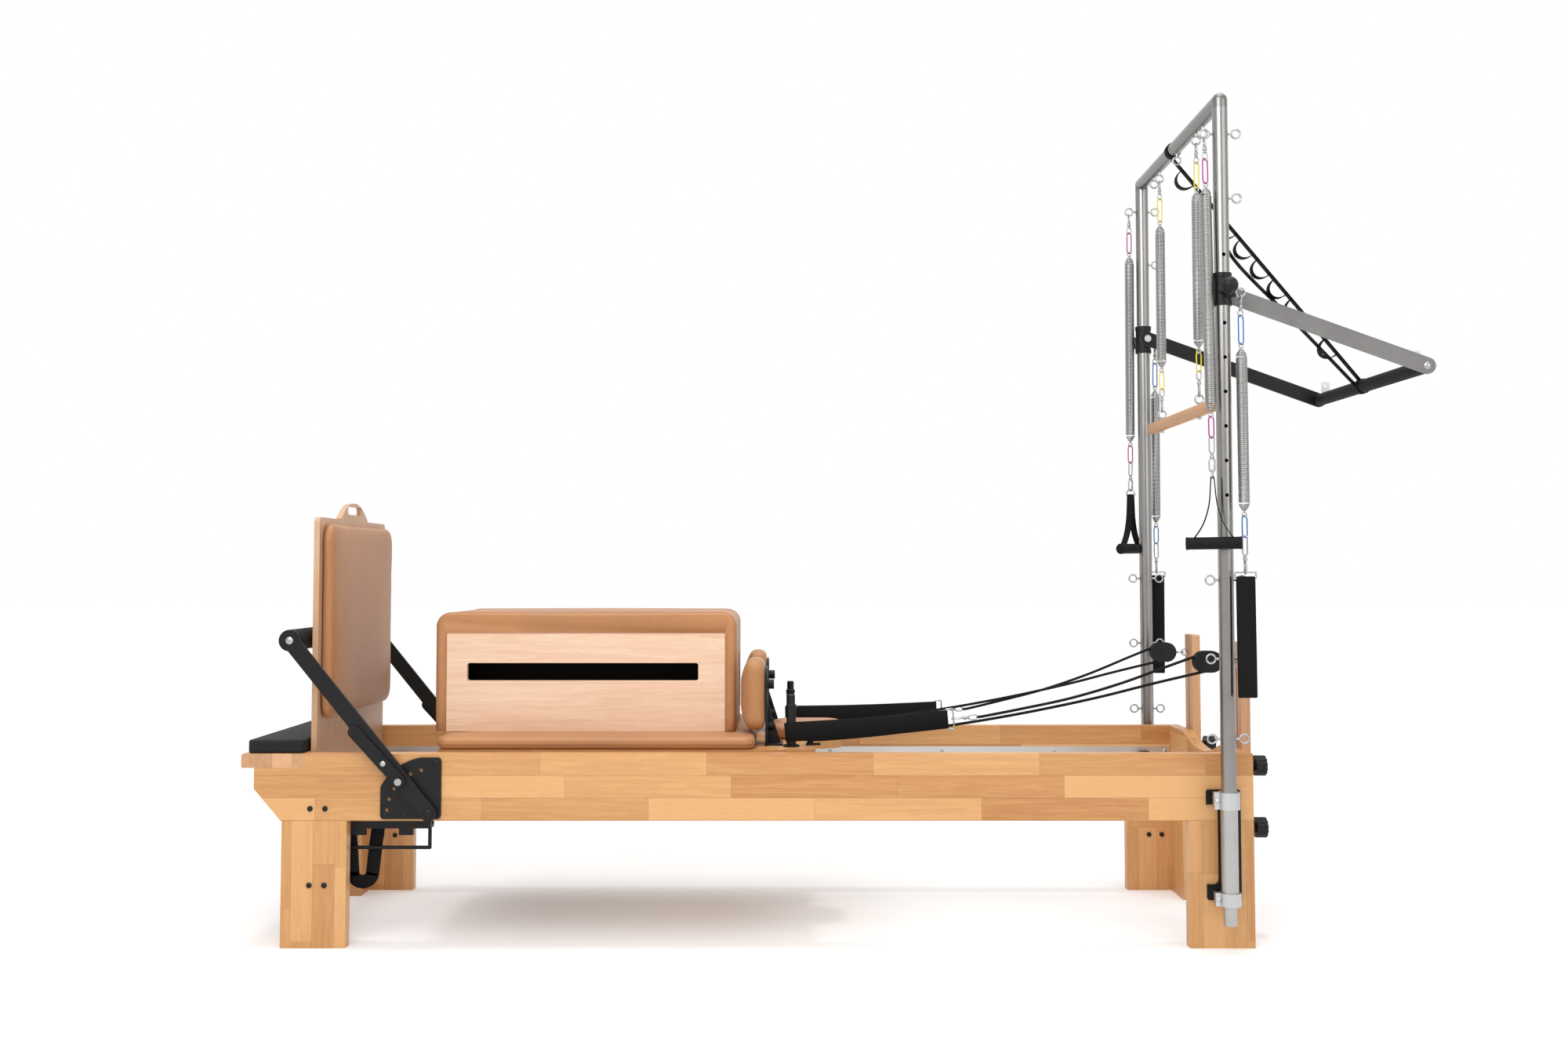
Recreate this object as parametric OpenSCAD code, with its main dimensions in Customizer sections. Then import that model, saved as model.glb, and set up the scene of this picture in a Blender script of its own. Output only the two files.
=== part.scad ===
// Wooden exercise reformer with a steel tower at its head end.
// X runs along the rails from the foot end, Y across them, Z up from the floor. Millimetres.

/* [Timber frame] */
// Length of the side rails
rail_l = 2400; // [2300:10:2600]
// Height of the side rails
rail_h = 160; // [140:1:180]
// Thickness of the side rails
rail_t = 34; // [28:1:40]
// Width over the side rails
frame_w = 690; // [660:2:740]
// Height of the legs
leg_h = 302; // [240:1:360]
// Length of a leg's side board
leg_l = 156; // [130:1:190]
// Thickness of the end boards and the legs' end panels
end_t = 32; // [26:1:38]
// Distance of the foot legs from the rails' foot end
foot_leg_x = 68; // [60:1:90]
// How far the foot legs' end panels reach in from the rail
foot_panel_in = 78; // [60:1:100]
// How far the head legs' end panels reach in from the rail
head_panel_in = 131; // [120:1:150]
// Depth of the scoop in the head end board
scoop_d = 31; // [20:1:40]
// Width of the scoop in the head end board
scoop_w = 340; // [260:10:400]

/* [Foot platform] */
// Thickness of the platform board
platform_t = 34; // [26:1:40]
// How far the platform stands out past the rails
platform_out = 31.4; // [20:0.2:45]
// Width of the platform board along the rails
platform_l = 153; // [140:1:153]
// Thickness of the foot pad
foot_pad_t = 33; // [20:1:40]
// Margin between the foot pad and the edge of the board
foot_pad_margin = 13; // [3:1:16]

/* [Rolling gear] */
// Height of the slide tracks
track_h = 64; // [54:1:70]
// Width of the slide tracks' running flange
track_flange = 30; // [28:1:34]
// Thickness of the slide tracks
track_t = 4; // [3:0.5:5]
// Diameter of the carriage wheels
wheel_d = 49.4; // [44:0.2:52]
// Width of the carriage wheels
wheel_w = 19; // [14:1:21]
// Diameter of the wheels' axles
axle_d = 8; // [6:0.5:10]
// Number of springs under the carriage
spring_count = 5; // [3:1:5]
// Diameter of the springs under the carriage
drive_spring_d = 26; // [20:1:30]

/* [Carriage] */
// Distance of the carriage from the rails' foot end
carriage_x = 424; // [420:1:440]
// Length of the deck without its head tongue
deck_l = 926; // [900:2:960]
// Thickness of the deck
deck_t = 21; // [15:1:24]
// Width of the deck
deck_w = 600; // [560:2:604]
// Length of the mat
mat_l = 780; // [776:1:786]
// Width of the mat
mat_w = 616; // [560:2:624]
// Thickness of the mat
mat_t = 33; // [25:1:40]
// Length of the headrest
headrest_l = 206; // [170:1:210]
// Width of the headrest
headrest_w = 172; // [150:1:180]
// Thickness of the headrest
headrest_t = 46; // [36:1:52]
// Height of the shoulder rests
shoulder_h = 190; // [170:1:196]
// Width of the shoulder rests
shoulder_w = 150; // [120:1:160]
// Thickness of the shoulder rests
shoulder_t = 64; // [50:1:68]
// Distance of the shoulder rests from the middle
shoulder_y = 175; // [172:1:180]
// Height of the strap pegs
peg_h = 128; // [100:1:140]
// Diameter of the strap pegs
peg_d = 23; // [18:1:26]
// Distance of the strap pegs from the middle
peg_y = 230; // [222:1:240]

/* [Sitting box] */
// Length of the sitting box
box_l = 754; // [740:1:758]
// Depth of the sitting box
box_w = 380; // [340:2:420]
// Height of the sitting box
box_h = 298; // [260:1:320]
// Thickness of the box's upholstery
cover_t = 27; // [20:1:32]
// Thickness of the box's panels
panel_t = 16; // [12:1:20]
// Length of the hand slot
slot_l = 581; // [400:1:600]
// Height of the hand slot
slot_h = 44; // [30:1:60]

/* [Jump board] */
// Width of the jump board
jump_w = 600; // [560:2:606]
// Thickness of the jump board
jump_t = 14; // [12:0.5:14]
// Height of the top of the jump board's handle
jump_top = 1079; // [1060:1:1120]
// Height of the jump board's handle over the board
jump_handle_h = 46; // [40:1:52]
// Height of the jump board's cushion
jump_pad_h = 494; // [440:2:498]
// Width of the jump board's cushion
jump_pad_w = 580; // [540:2:590]
// Thickness of the jump board's cushion
jump_pad_t = 36; // [25:1:40]

/* [Footbar] */
// Diameter of the padded footbar
footbar_d = 52; // [40:1:54]
// Length of the footbar's arms between their centres
footbar_l = 532; // [520:1:545]
// Width of the footbar's arms
footbar_arm_w = 38; // [30:1:42]
// Thickness of the footbar's arms
footbar_arm_t = 8; // [6:1:9]
// Angle of the footbar's arms over the horizontal
footbar_angle = 50.7; // [48:0.1:51]
// Distance of the footbar's pivot from the rails' foot end
footbar_x = 423.5; // [421:0.5:430]
// Height of the footbar's pivot
footbar_z = 322.2; // [318:0.2:330]
// Thickness of the footbar's side plates
side_plate_t = 6; // [4:0.5:8]
// Radius of the row of lock holes
lock_r = 103; // [90:1:106]
// Angle between two lock holes
lock_step = 15; // [12:0.5:16]
// Diameter of the lock pins
lock_pin_d = 9; // [6:0.5:10]

/* [Tower] */
// Distance of the posts from the rails' foot end
tower_x = 2326; // [2322:1:2330]
// Distance of the posts from the middle
tower_y = 396; // [394:1:400]
// Diameter of the posts
post_d = 36; // [32:0.5:37]
// Wall of the posts
post_wall = 2; // [1.5:0.25:3]
// Diameter of the posts' lower sleeves
sleeve_d = 40; // [39:0.5:42]
// Height of the tower's top
tower_top = 2055; // [1980:1:2120]
// Height of the posts' lower ends
post_bottom = 112; // [100:1:120]
// Length of the plug under each post
plug_l = 46; // [30:1:60]
// Height of the top of the sleeves
sleeve_top = 378; // [370:1:390]
// Diameter of the eyebolts' wire
eye_wire = 4.6; // [3:0.2:5]
// Diameter of the eyebolts' rings over the outside
eye_d = 26; // [22:1:28]

/* [Push-through bar] */
// Height of the pin hole that the sliders stand at
slider_z = 1576; // [1560:1:1590]
// Distance between two pin holes
hole_step = 82.5; // [75:0.5:86]
// Diameter of the slider collars
collar_d = 46; // [42:0.5:46]
// Height of the slider collars
collar_h = 78; // [70:1:84]
// Diameter of the pin knobs
knob_d = 42; // [34:1:44]
// Length of the push bar's arms between their centres
push_l = 528; // [500:1:560]
// Width of the push bar's arms
push_arm_w = 40; // [32:1:44]
// Thickness of the push bar's arms
push_arm_t = 7; // [5:0.5:8]
// Angle of the push bar's arms under the horizontal
push_angle = 19.9; // [12:0.1:24]
// Diameter of the push bar's foam grip
push_grip_d = 35; // [30:0.5:38]

/* [Springs and straps] */
// Diameter of the hanging springs
spring_d = 27; // [22:0.5:28]
// Diameter of the springs' wire
spring_wire = 2.6; // [2:0.1:3]
// Length of the hand loops' springs
hand_spring_l = 545; // [480:1:560]
// Length of the roll-down bar's springs
bar_spring_l = 400; // [360:1:430]
// Length of the leg springs
leg_spring_l = 389; // [350:1:400]
// Diameter of the hand loops' grips
hand_grip_d = 29; // [24:0.5:31]
// Length of the hand loops' grips
hand_grip_l = 129; // [110:1:132]
// Length of the roll-down bar
roll_bar_l = 600; // [560:2:640]
// Diameter of the roll-down bar
roll_bar_d = 32; // [26:0.5:34]
// Width of the leg straps
leg_strap_w = 44; // [36:1:48]
// Length of the leg straps
leg_strap_l = 286; // [240:1:300]
// Thickness of the webbing
web_t = 2.4; // [1.6:0.2:3]
// Width of the foot straps
foot_strap_w = 45; // [36:1:50]
// Diameter of the ropes
rope_d = 7; // [5:0.5:8]

/* [Risers] */
// Height of the risers' tops
riser_top = 724; // [700:1:760]
// Length of the risers
riser_l = 484; // [470:1:500]
// Width of the risers
riser_w = 72; // [60:1:76]
// Thickness of the risers
riser_t = 22; // [18:1:26]
// Distance of the risers from the middle
riser_y = 221; // [216:1:224]
// Diameter of the risers' clamp knobs
clamp_knob_d = 50; // [44:1:56]
// Diameter of the rope pulleys
pulley_d = 44; // [38:1:46]

/* [Hidden] */
$fn = 48;

// Clearances that every fit shares
soft_gap = 0.3;
seat_gap = 0.2;
fit_gap = 0.05;
near = -1;
far = 1;

// Timber frame
half_w = frame_w / 2;
rail_in = half_w - rail_t;
rail_top = leg_h + rail_h;
platform_end = platform_l - platform_out;
head_leg_x = rail_l - leg_l;
x_tip = tower_x + 5 + push_l * cos(push_angle) + push_arm_w / 2;
x_mid = (x_tip - platform_out) / 2;
platform_z = rail_top - platform_t;
track_z = rail_top - 122;
flange_top = track_z + track_t;

// Carriage
wheel_z = flange_top + wheel_d / 2 + soft_gap;
deck_z = rail_top - 17;
deck_top = deck_z + deck_t;
mat_z = deck_top + soft_gap;
mat_crown = 2;
box_z = mat_z + mat_t - mat_crown * 0.42 + soft_gap;
wheel_y = rail_in - track_t - 2 - wheel_w / 2;
foot_wheel_x = carriage_x + 96;
head_wheel_x = carriage_x + deck_l - 36;
deck_end = carriage_x + deck_l;
tongue_l = 72;
shoulder_x = deck_end - 124;
peg_x = deck_end - 59;
cleat_x = deck_end + 30;

// Jump board
jump_x = platform_end + soft_gap;
jump_bottom = rail_top - 132;
jump_board_top = jump_top - jump_handle_h;

// Footbar
footbar_y = half_w + side_plate_t + 5 + footbar_arm_t / 2;
lock_angle = 180 - footbar_angle + 2.5;

// Tower
crossbar_z = tower_top - post_d / 2;
crossbar_joint = crossbar_z - post_d / 2 - 1;
eye_r = (eye_d - eye_wire) / 2;
eye_out = post_d / 2 + 7 + eye_d / 2;

// Push bar
pivot_x = tower_x + 5;
push_y = tower_y - collar_d / 2 - 1 - push_arm_t / 2;
pin_boss = 44;

// Hanging sets: each hangs in an eyebolt's ring, z 0 at the top of the wire it hangs on
hook_wire = 3.6;
link_wire = 4;
hook_eye_wire = 3.2;
hook_eye_l = 15;
hand_x = tower_x - eye_out;
hand_eye_z = 1955;
hand_leans = [2.16, 1.15];
leg_x = tower_x + eye_out;
leg_y = tower_y + 18;
leg_eye_z = slider_z - 10;
leg_lean = 0.9;
bar_eye_z = crossbar_z - eye_out;
bar_ys = [-187, 187];
wire_top = eye_wire / 2 - eye_r;

// Risers
riser_x = rail_l + soft_gap;
riser_bottom = riser_top - riser_l;
knob_zs = [418, 266];
pulley_x = tower_x + 2;
pulley_z = riser_top - 49;

wood = "burlywood";
dark_wood = "peru";
steel = "silver";
black = [0.12, 0.12, 0.12];
vinyl = [0.76, 0.52, 0.33];

// Moves the drawing so that X 0 is the middle of the whole part
module centred() {
  translate([-x_mid, 0, 0]) children();
}

// Draws a child once on each side
module both_sides() {
  children();
  mirror([0, 1, 0]) children();
}

// Cylinder along Y from y0 to y1
module bar_y(d, y0, y1) {
  translate([0, min(y0, y1), 0]) rotate([-90, 0, 0]) cylinder(d = d, h = abs(y1 - y0));
}

// Cylinder along X from x0 to x1
module bar_x(d, x0, x1) {
  translate([min(x0, x1), 0, 0]) rotate([0, 90, 0]) cylinder(d = d, h = abs(x1 - x0));
}

// Plate in the XZ plane, t thick, with its low face at y
module plate_xz(y, t) {
  translate([0, y + t, 0]) rotate([90, 0, 0]) linear_extrude(t) children();
}

// Rectangle with true round corners
module round_rect(w, h, r) {
  translate([r, 0]) square([w - 2 * r, h]);
  translate([0, r]) square([w, h - 2 * r]);
  for (x = [r, w - r]) for (y = [r, h - r]) translate([x, y]) circle(r = r);
}

// Straight slot between two centres, d wide
module slot_2d(l, d) {
  circle(d = d);
  translate([l, 0]) circle(d = d);
  translate([0, -d / 2]) square([l, d]);
}

// Wire ring in the XZ plane
module ring_y(r, wire) {
  rotate([90, 0, 0]) rotate_extrude() translate([r, 0]) circle(d = wire, $fn = 16);
}

// Eyebolt that stands along +X, with its ring in the XZ plane; x is where it is screwed in
module eyebolt() {
  neck = eye_out - eye_r - post_d / 2;
  translate([eye_out, 0, 0]) ring_y(eye_r, eye_wire);
  bar_x(eye_wire + 1.6, post_d / 2 + seat_gap, post_d / 2 + neck);
}

// Cushion over a w by l outline: drawn-in sides, rounded edges and a crowned top
function pad_outline(w, l, r, pull, n) = [
  for (i = [0 : n - 1])
    let (
      a = 360 * (i + 0.5) / n,
      p = 2 / (2 + 0.12 * min(w, l) / r * 4),
      cx = sign(cos(a)) * pow(abs(cos(a)), p),
      cy = sign(sin(a)) * pow(abs(sin(a)), p)
    )
    [w / 2 * cx - pull * cx * (1 - cy * cy), l / 2 * cy - pull * cy * (1 - cx * cx)]
];

module cushion(w, l, t, r, crown, pull = 2, n = 32) {
  outline = pad_outline(w, l, r, pull, n);
  edge = min(t / 2, 14);
  rings = [
    [edge * 0.6, 0], [0, edge], [0, t - crown - edge],
    [edge * 0.35, t - crown - edge * 0.3], [edge * 1.1, t - crown],
    [min(w, l) * 0.28, t - crown * 0.25]
  ];
  points = [
    for (ring = rings) for (p = outline)
      [p[0] * (1 - 2 * ring[0] / w), p[1] * (1 - 2 * ring[0] / l), ring[1]],
    [0, 0, 0],
    [0, 0, t]
  ];
  last = len(rings) - 1;
  base = len(rings) * n;
  faces = [
    for (k = [0 : last - 1]) for (i = [0 : n - 1])
      let (j = (i + 1) % n) [k * n + i, (k + 1) * n + i, (k + 1) * n + j, k * n + j],
    for (i = [0 : n - 1]) [base, i, (i + 1) % n],
    for (i = [0 : n - 1]) [base + 1, last * n + (i + 1) % n, last * n + i]
  ];
  polyhedron(points, faces, convexity = 4);
}

// Unbroken tube swept along a list of points
function unit(v) = v / norm(v);
function sweep_dir(path, i) =
  unit(path[min(i + 1, len(path) - 1)] - path[max(i - 1, 0)]);
function sweep_side(d, up) = unit(cross(d, up));
function sweep_points(path, r, sides, up) = [
  for (i = [0 : len(path) - 1])
    let (
      d = sweep_dir(path, i),
      s = sweep_side(d, up),
      u = cross(s, d)
    )
    for (k = [0 : sides - 1])
      let (a = 360 * k / sides) path[i] + r * (cos(a) * s + sin(a) * u)
];

module tube(path, d, sides = 8, up = [0, 1, 0]) {
  n = len(path);
  points = concat(sweep_points(path, d / 2, sides, up), [path[0], path[n - 1]]);
  faces = [
    for (i = [0 : n - 2]) for (k = [0 : sides - 1])
      let (m = (k + 1) % sides)
      each [
        [i * sides + k, i * sides + m, (i + 1) * sides + m],
        [i * sides + k, (i + 1) * sides + m, (i + 1) * sides + k]
      ],
    for (k = [0 : sides - 1]) [n * sides, (k + 1) % sides, k],
    for (k = [0 : sides - 1])
      [n * sides + 1, (n - 1) * sides + k, (n - 1) * sides + (k + 1) % sides]
  ];
  polyhedron(points, faces, convexity = 6);
}

// Wound end of a spring: curls that narrow from the body to the hook, going down from z 0
end_curls = 5;
curl_rings = 8;
curl_pitch = spring_wire + 0.7;
spring_end_l = end_curls * curl_pitch + spring_wire + soft_gap;
spring_tip_r = hook_eye_wire / 2 + soft_gap + spring_wire / 2;
function curl_point(s) =
  let (
    turn = s * end_curls,
    body_r = (spring_d - spring_wire) / 2,
    r = body_r + (spring_tip_r - body_r) * pow(s, 1.4)
  )
  [r * cos(360 * turn), r * sin(360 * turn), -spring_wire / 2 - soft_gap - turn * curl_pitch];
curl_steps = end_curls * curl_rings;
curl_path = [for (i = [0 : curl_steps]) curl_point(i / curl_steps)];
curl_lead = unit(curl_path[0] - curl_path[1]) * spring_wire;
curl_tail = unit(curl_path[curl_steps] - curl_path[curl_steps - 1]) * spring_wire;
curl_tube = concat(
  [curl_path[0] + curl_lead], curl_path, [curl_path[curl_steps] + curl_tail]
);
echo(least_self_gap = min([
  for (i = [0 : curl_steps - curl_rings])
    norm(curl_path[i + curl_rings] - curl_path[i]) - spring_wire
]));

module spring_end() {
  tube(curl_tube, spring_wire, 6, [0, 0, 1]);
}

// Closed-wound spring from z 0 down to -l, with a wound taper at each end
module hanging_spring(l) {
  body_l = l - 2 * spring_end_l;
  translate([0, 0, -spring_end_l - body_l]) cylinder(d = spring_d, h = body_l);
  translate([0, 0, -spring_end_l - body_l]) spring_end();
  translate([0, 0, -spring_end_l]) mirror([0, 0, 1]) spring_end();
}

// Oval link of wire in the XZ plane turned by turn about Z, from z 0 down to -l
module link(l, w, wire, turn = 0) {
  r = (w - wire) / 2;
  straight = l - wire - 2 * r;
  rotate([0, 0, turn]) {
    for (s = [0, 1])
      translate([0, 0, -wire / 2 - r - s * straight])
        rotate([90, 0, 0])
          rotate([0, 0, s * 180])
            rotate_extrude(angle = 180) translate([r, 0]) circle(d = wire, $fn = 16);
    for (x = [-r, r])
      translate([x, 0, -wire / 2 - r - straight]) cylinder(d = wire, h = straight, $fn = 16);
  }
}

// Snap hook that hangs from z 0 down to -l: bow, body, swivel and its lower eye
module snap_hook(l, bow_turn, eye_turn) {
  bow = min(l * 0.5, 36);
  link(bow, 17, hook_wire, bow_turn);
  translate([0, 0, -bow - 5]) cylinder(d = 10, h = 6);
  translate([0, 0, -bow - 9]) cylinder(d = 5, h = 4.2);
  translate([0, 0, -bow - 8.8]) link(l - bow - 8.8, 15, hook_wire, eye_turn);
}

// Eye of a spring: a small ring from z 0 up, with a shank down into the wound end
module spring_eye() {
  translate([0, 0, hook_eye_l + 0.4]) link(hook_eye_l, 13, hook_eye_wire);
  translate([0, 0, -6]) cylinder(d = hook_eye_wire, h = 7.4);
}

// Snap, link, spring, link and snap: the spring runs from top down, the lower snap ends at z_end
lower_link_l = 56;
module spring_set(hook_l, top, l, z_end, bow_turn, twist = 0) {
  a_top = hook_wire + seat_gap;
  b_top = a_top - hook_l + hook_wire + link_wire + seat_gap;
  b_end = top + 0.4 + hook_eye_l - link_wire - hook_eye_wire - seat_gap;
  c_top = top - l - 0.4 - hook_eye_l + hook_eye_wire + link_wire + seat_gap;
  e_top = c_top - lower_link_l + hook_wire + link_wire + seat_gap;
  translate([0, 0, a_top]) snap_hook(hook_l, 90, 0);
  translate([0, 0, b_top]) link(b_top - b_end, 20, link_wire, 90);
  translate([0, 0, top]) spring_eye();
  translate([0, 0, top]) hanging_spring(l);
  translate([0, 0, top - l]) mirror([0, 0, 1]) spring_eye();
  translate([0, 0, c_top]) link(lower_link_l, 20, link_wire, 90);
  translate([0, 0, z_end])
    rotate([0, 0, twist]) mirror([0, 0, 1]) snap_hook(e_top - z_end, bow_turn, 0);
}

// Oblong ring in the XZ plane with square corners, from z 0 down to -l
module square_ring(w, l, wire) {
  x = (w - wire) / 2;
  for (z = [-wire / 2, wire / 2 - l]) {
    translate([0, 0, z]) bar_x(wire, -x, x);
    for (s = [-x, x]) translate([s, 0, z]) sphere(d = wire);
  }
  for (s = [-x, x]) translate([s, 0, wire / 2 - l]) cylinder(d = wire, h = l - wire);
}

// Ring with one straight side below, in the XZ plane turned by turn, from z 0 down to -l
module d_ring(w, l, wire, turn = 0) {
  r = (w - wire) / 2;
  rotate([0, 0, turn]) {
    translate([0, 0, -wire / 2 - r])
      rotate([90, 0, 0]) rotate_extrude(angle = 180) translate([r, 0]) circle(d = wire, $fn = 16);
    for (x = [-r, r])
      translate([x, 0, -l + wire / 2]) cylinder(d = wire, h = l - wire - r, $fn = 16);
    for (x = [-r, r]) translate([x, 0, -l + wire / 2]) sphere(d = wire, $fn = 16);
    translate([-r, 0, -l + wire / 2]) rotate([0, 90, 0]) cylinder(d = wire, h = 2 * r, $fn = 16);
  }
}

// Side rails with the platform's notch and the chamfered lower corner
module side_rail_outline() {
  difference() {
    polygon([
      [0, leg_h + rail_h * 0.475], [foot_leg_x - 3, leg_h], [rail_l, leg_h],
      [rail_l, rail_top], [0, rail_top]
    ]);
    translate([-1, platform_z]) square([platform_end + 1, platform_t + 1]);
  }
}

module side_rails() {
  color(wood)
    both_sides() plate_xz(-half_w, rail_t) side_rail_outline();
}

// Foot end board, head end board with its scoop, and the ledge that the jump board stands on
module head_board_outline() {
  scoop_r = (pow(scoop_w / 2, 2) + scoop_d * scoop_d) / (2 * scoop_d);
  difference() {
    translate([-rail_in, 0]) square([2 * rail_in, rail_h]);
    translate([0, rail_h - scoop_d + scoop_r]) circle(r = scoop_r, $fn = 96);
    for (s = [near, far])
      translate([s * riser_y, knob_zs[0] - leg_h]) circle(d = 10.4);
  }
}

module end_boards() {
  color(wood) {
    translate([foot_leg_x, -rail_in, leg_h]) cube([end_t, 2 * rail_in, platform_z - leg_h]);
    translate([rail_l - end_t, 0, leg_h])
      rotate([90, 0, 90]) linear_extrude(end_t) head_board_outline();
    translate([jump_x - 6, -rail_in, jump_bottom - 18 - seat_gap])
      cube([jump_t + 14, 2 * rail_in, 18]);
  }
}

// One L-shaped leg: side board under the rail and an end panel
module leg(panel_x, panel_in, drilled) {
  translate([0, -half_w, 0]) cube([leg_l, rail_t, leg_h]);
  difference() {
    translate([panel_x, -rail_in, 0]) cube([end_t, panel_in, leg_h]);
    if (drilled)
      translate([panel_x, -riser_y, knob_zs[1]]) bar_x(10.4, -1, end_t + 1);
  }
}

module legs() {
  color(wood)
    both_sides() {
      translate([foot_leg_x, 0, 0]) leg(0, foot_panel_in, false);
      translate([head_leg_x, 0, 0]) leg(leg_l - end_t, head_panel_in, true);
    }
}

module foot_platform() {
  r = 5;
  color(dark_wood)
    plate_xz(-half_w, frame_w)
      translate([-platform_out, platform_z]) {
        translate([r, 0]) square([platform_l - r, platform_t]);
        translate([0, r]) square([r, platform_t - 2 * r]);
        for (z = [r, platform_t - r]) translate([r, z]) circle(r = r);
      }
}

module platform_pad() {
  pad_l = platform_l - foot_pad_margin - 5;
  color(black)
    translate([-platform_out + foot_pad_margin, -half_w + 4, rail_top + seat_gap])
      linear_extrude(foot_pad_t) round_rect(pad_l, frame_w - 8, 12);
}

// Tracks inside the rails, each a plate screwed on over a flat bar, with a stop block near the head end
module slide_tracks() {
  x0 = jump_x + jump_t + soft_gap;
  l = rail_l - end_t - 4 - x0;
  stop_x = rail_l - 120;
  foot = track_t + seat_gap;
  color(steel)
    both_sides() {
      translate([x0, -rail_in, track_z + foot]) cube([l, track_t, track_h - foot]);
      translate([x0, -rail_in, track_z]) cube([l, track_flange, track_t]);
    }
  color(black)
    both_sides()
      translate([stop_x, -rail_in + track_t + seat_gap, flange_top + seat_gap])
        cube([24, 20, 48]);
}

// Dome head that lies on a face at y, looking out along side
module bolt_head(d, h, side) {
  rotate([-90 * side, 0, 0])
    rotate_extrude()
      intersection() {
        translate([0, h - d * 0.7]) circle(r = d * 0.7);
        square([d / 2, h]);
      }
}

leg_bolt_xs = [68, 104];
leg_bolt_zs = [149, 331];
track_screw_step = 316;
module frame_bolts() {
  color(black)
    for (s = [near, far])
      for (x = leg_bolt_xs) {
        for (z = leg_bolt_zs)
          translate([foot_leg_x + x, s * (half_w + seat_gap), z]) bolt_head(13, 5, s);
        translate([foot_leg_x + x, s * (rail_in - seat_gap), 154]) bolt_head(13, 5, -s);
        translate([head_leg_x + x - 6, s * (rail_in - seat_gap), 156]) bolt_head(13, 5, -s);
      }
  color(steel)
    for (s = [near, far]) {
      for (k = [1 : 7])
        translate([141 + k * track_screw_step, s * (rail_in - track_t - seat_gap), track_z + 51])
          bolt_head(11, 2, -s);
      for (p = plate_bolts)
        translate([p[0], s * (half_w + side_plate_t + seat_gap), p[1]]) bolt_head(13, 3, s);
      for (p = bracket_bolts)
        translate([p[0], s * (half_w + side_plate_t + seat_gap), p[1]]) bolt_head(12, 4, s);
    }
}

// Gear racks, the bar that the drive springs hang on, and the rod for spare straps
spring_bar_x = carriage_x - 24;
spring_bar_z = wheel_z + 14;
rack_y = rail_in - 12;
bar_y_end = rail_in - track_flange - 6;
module spring_bar() {
  color(black) {
    both_sides() {
      translate([200, -rail_in + seat_gap, leg_h - 24]) cube([spring_bar_x - 182, 12, 58]);
      for (x = [226, 341])
        translate([x, -rail_in + seat_gap, leg_h - 40]) cube([34, 12, 18]);
      translate([spring_bar_x, -bar_y_end - 6, leg_h - 24]) cube([18, 6, 126]);
      translate([spring_bar_x, -rail_in + seat_gap, leg_h - 24])
        cube([18, rail_in - bar_y_end, 8]);
    }
    translate([spring_bar_x, -bar_y_end, spring_bar_z - 12]) cube([8, 2 * bar_y_end, 24]);
    storage_rod();
  }
}

rod_y = -rail_in + 27;
rod_z = 228;
module storage_rod() {
  x0 = 214;
  x1 = 410;
  for (x = [x0, x1])
    translate([x, rod_y, rod_z]) cylinder(d = 9, h = leg_h - 24 - rod_z + 8);
  translate([x0, rod_y, rod_z]) sphere(d = 9);
  translate([x1, rod_y, rod_z]) sphere(d = 9);
  translate([x0, rod_y, rod_z]) bar_x(9, 0, x1 - x0);
  for (x = [x0, x1])
    translate([x - 6, -rail_in + seat_gap, leg_h - 24]) cube([12, 32, 8]);
}

// Soft spare loop that hangs under the foot end
module storage_loop() {
  band = 33;
  bend = 8;
  r = band + bend;
  top = leg_h - 10 - 168;
  color(black)
    plate_xz(-rail_in + 32 + 2 * seat_gap, 6)
      translate([245, 168]) {
        difference() {
          circle(r = r);
          circle(r = bend);
          translate([-r - 1, 0]) square([2 * r + 2, r + 1]);
        }
        polygon([[-r, 0], [-bend, 0], [-bend - 9, top], [-r - 9, top]]);
        polygon([[bend, 0], [r, 0], [r + 15, top], [bend + 15, top]]);
      }
}

// Side plates that carry the footbar's pivot and lock holes
plate_bolts = [
  [footbar_x + 15, footbar_z + 118], [footbar_x - 107, footbar_z - 7],
  [footbar_x - 60, footbar_z - 7]
];
module footbar_plate_outline() {
  w = 145;
  h = 146;
  x1 = footbar_x + 27;
  z0 = footbar_z - 15;
  difference() {
    intersection() {
      translate([x1 - w, z0]) round_rect(w, h, 9);
      translate([footbar_x, footbar_z]) circle(r = 133, $fn = 96);
    }
    translate([footbar_x, footbar_z]) circle(d = 12 + 2 * fit_gap);
    for (k = [-2 : 3])
      translate([
        footbar_x + lock_r * cos(lock_angle + k * lock_step),
        footbar_z + lock_r * sin(lock_angle + k * lock_step)
      ]) circle(d = lock_pin_d + 0.6);
  }
}

module footbar_plates() {
  color(black)
    both_sides() plate_xz(-half_w - side_plate_t, side_plate_t) footbar_plate_outline();
}

// Two arms, their pivot bolts and the short lock bars, at the footbar's own pivot
module footbar_at_pivot() {
  translate([footbar_x, 0, footbar_z]) children();
}

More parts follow.
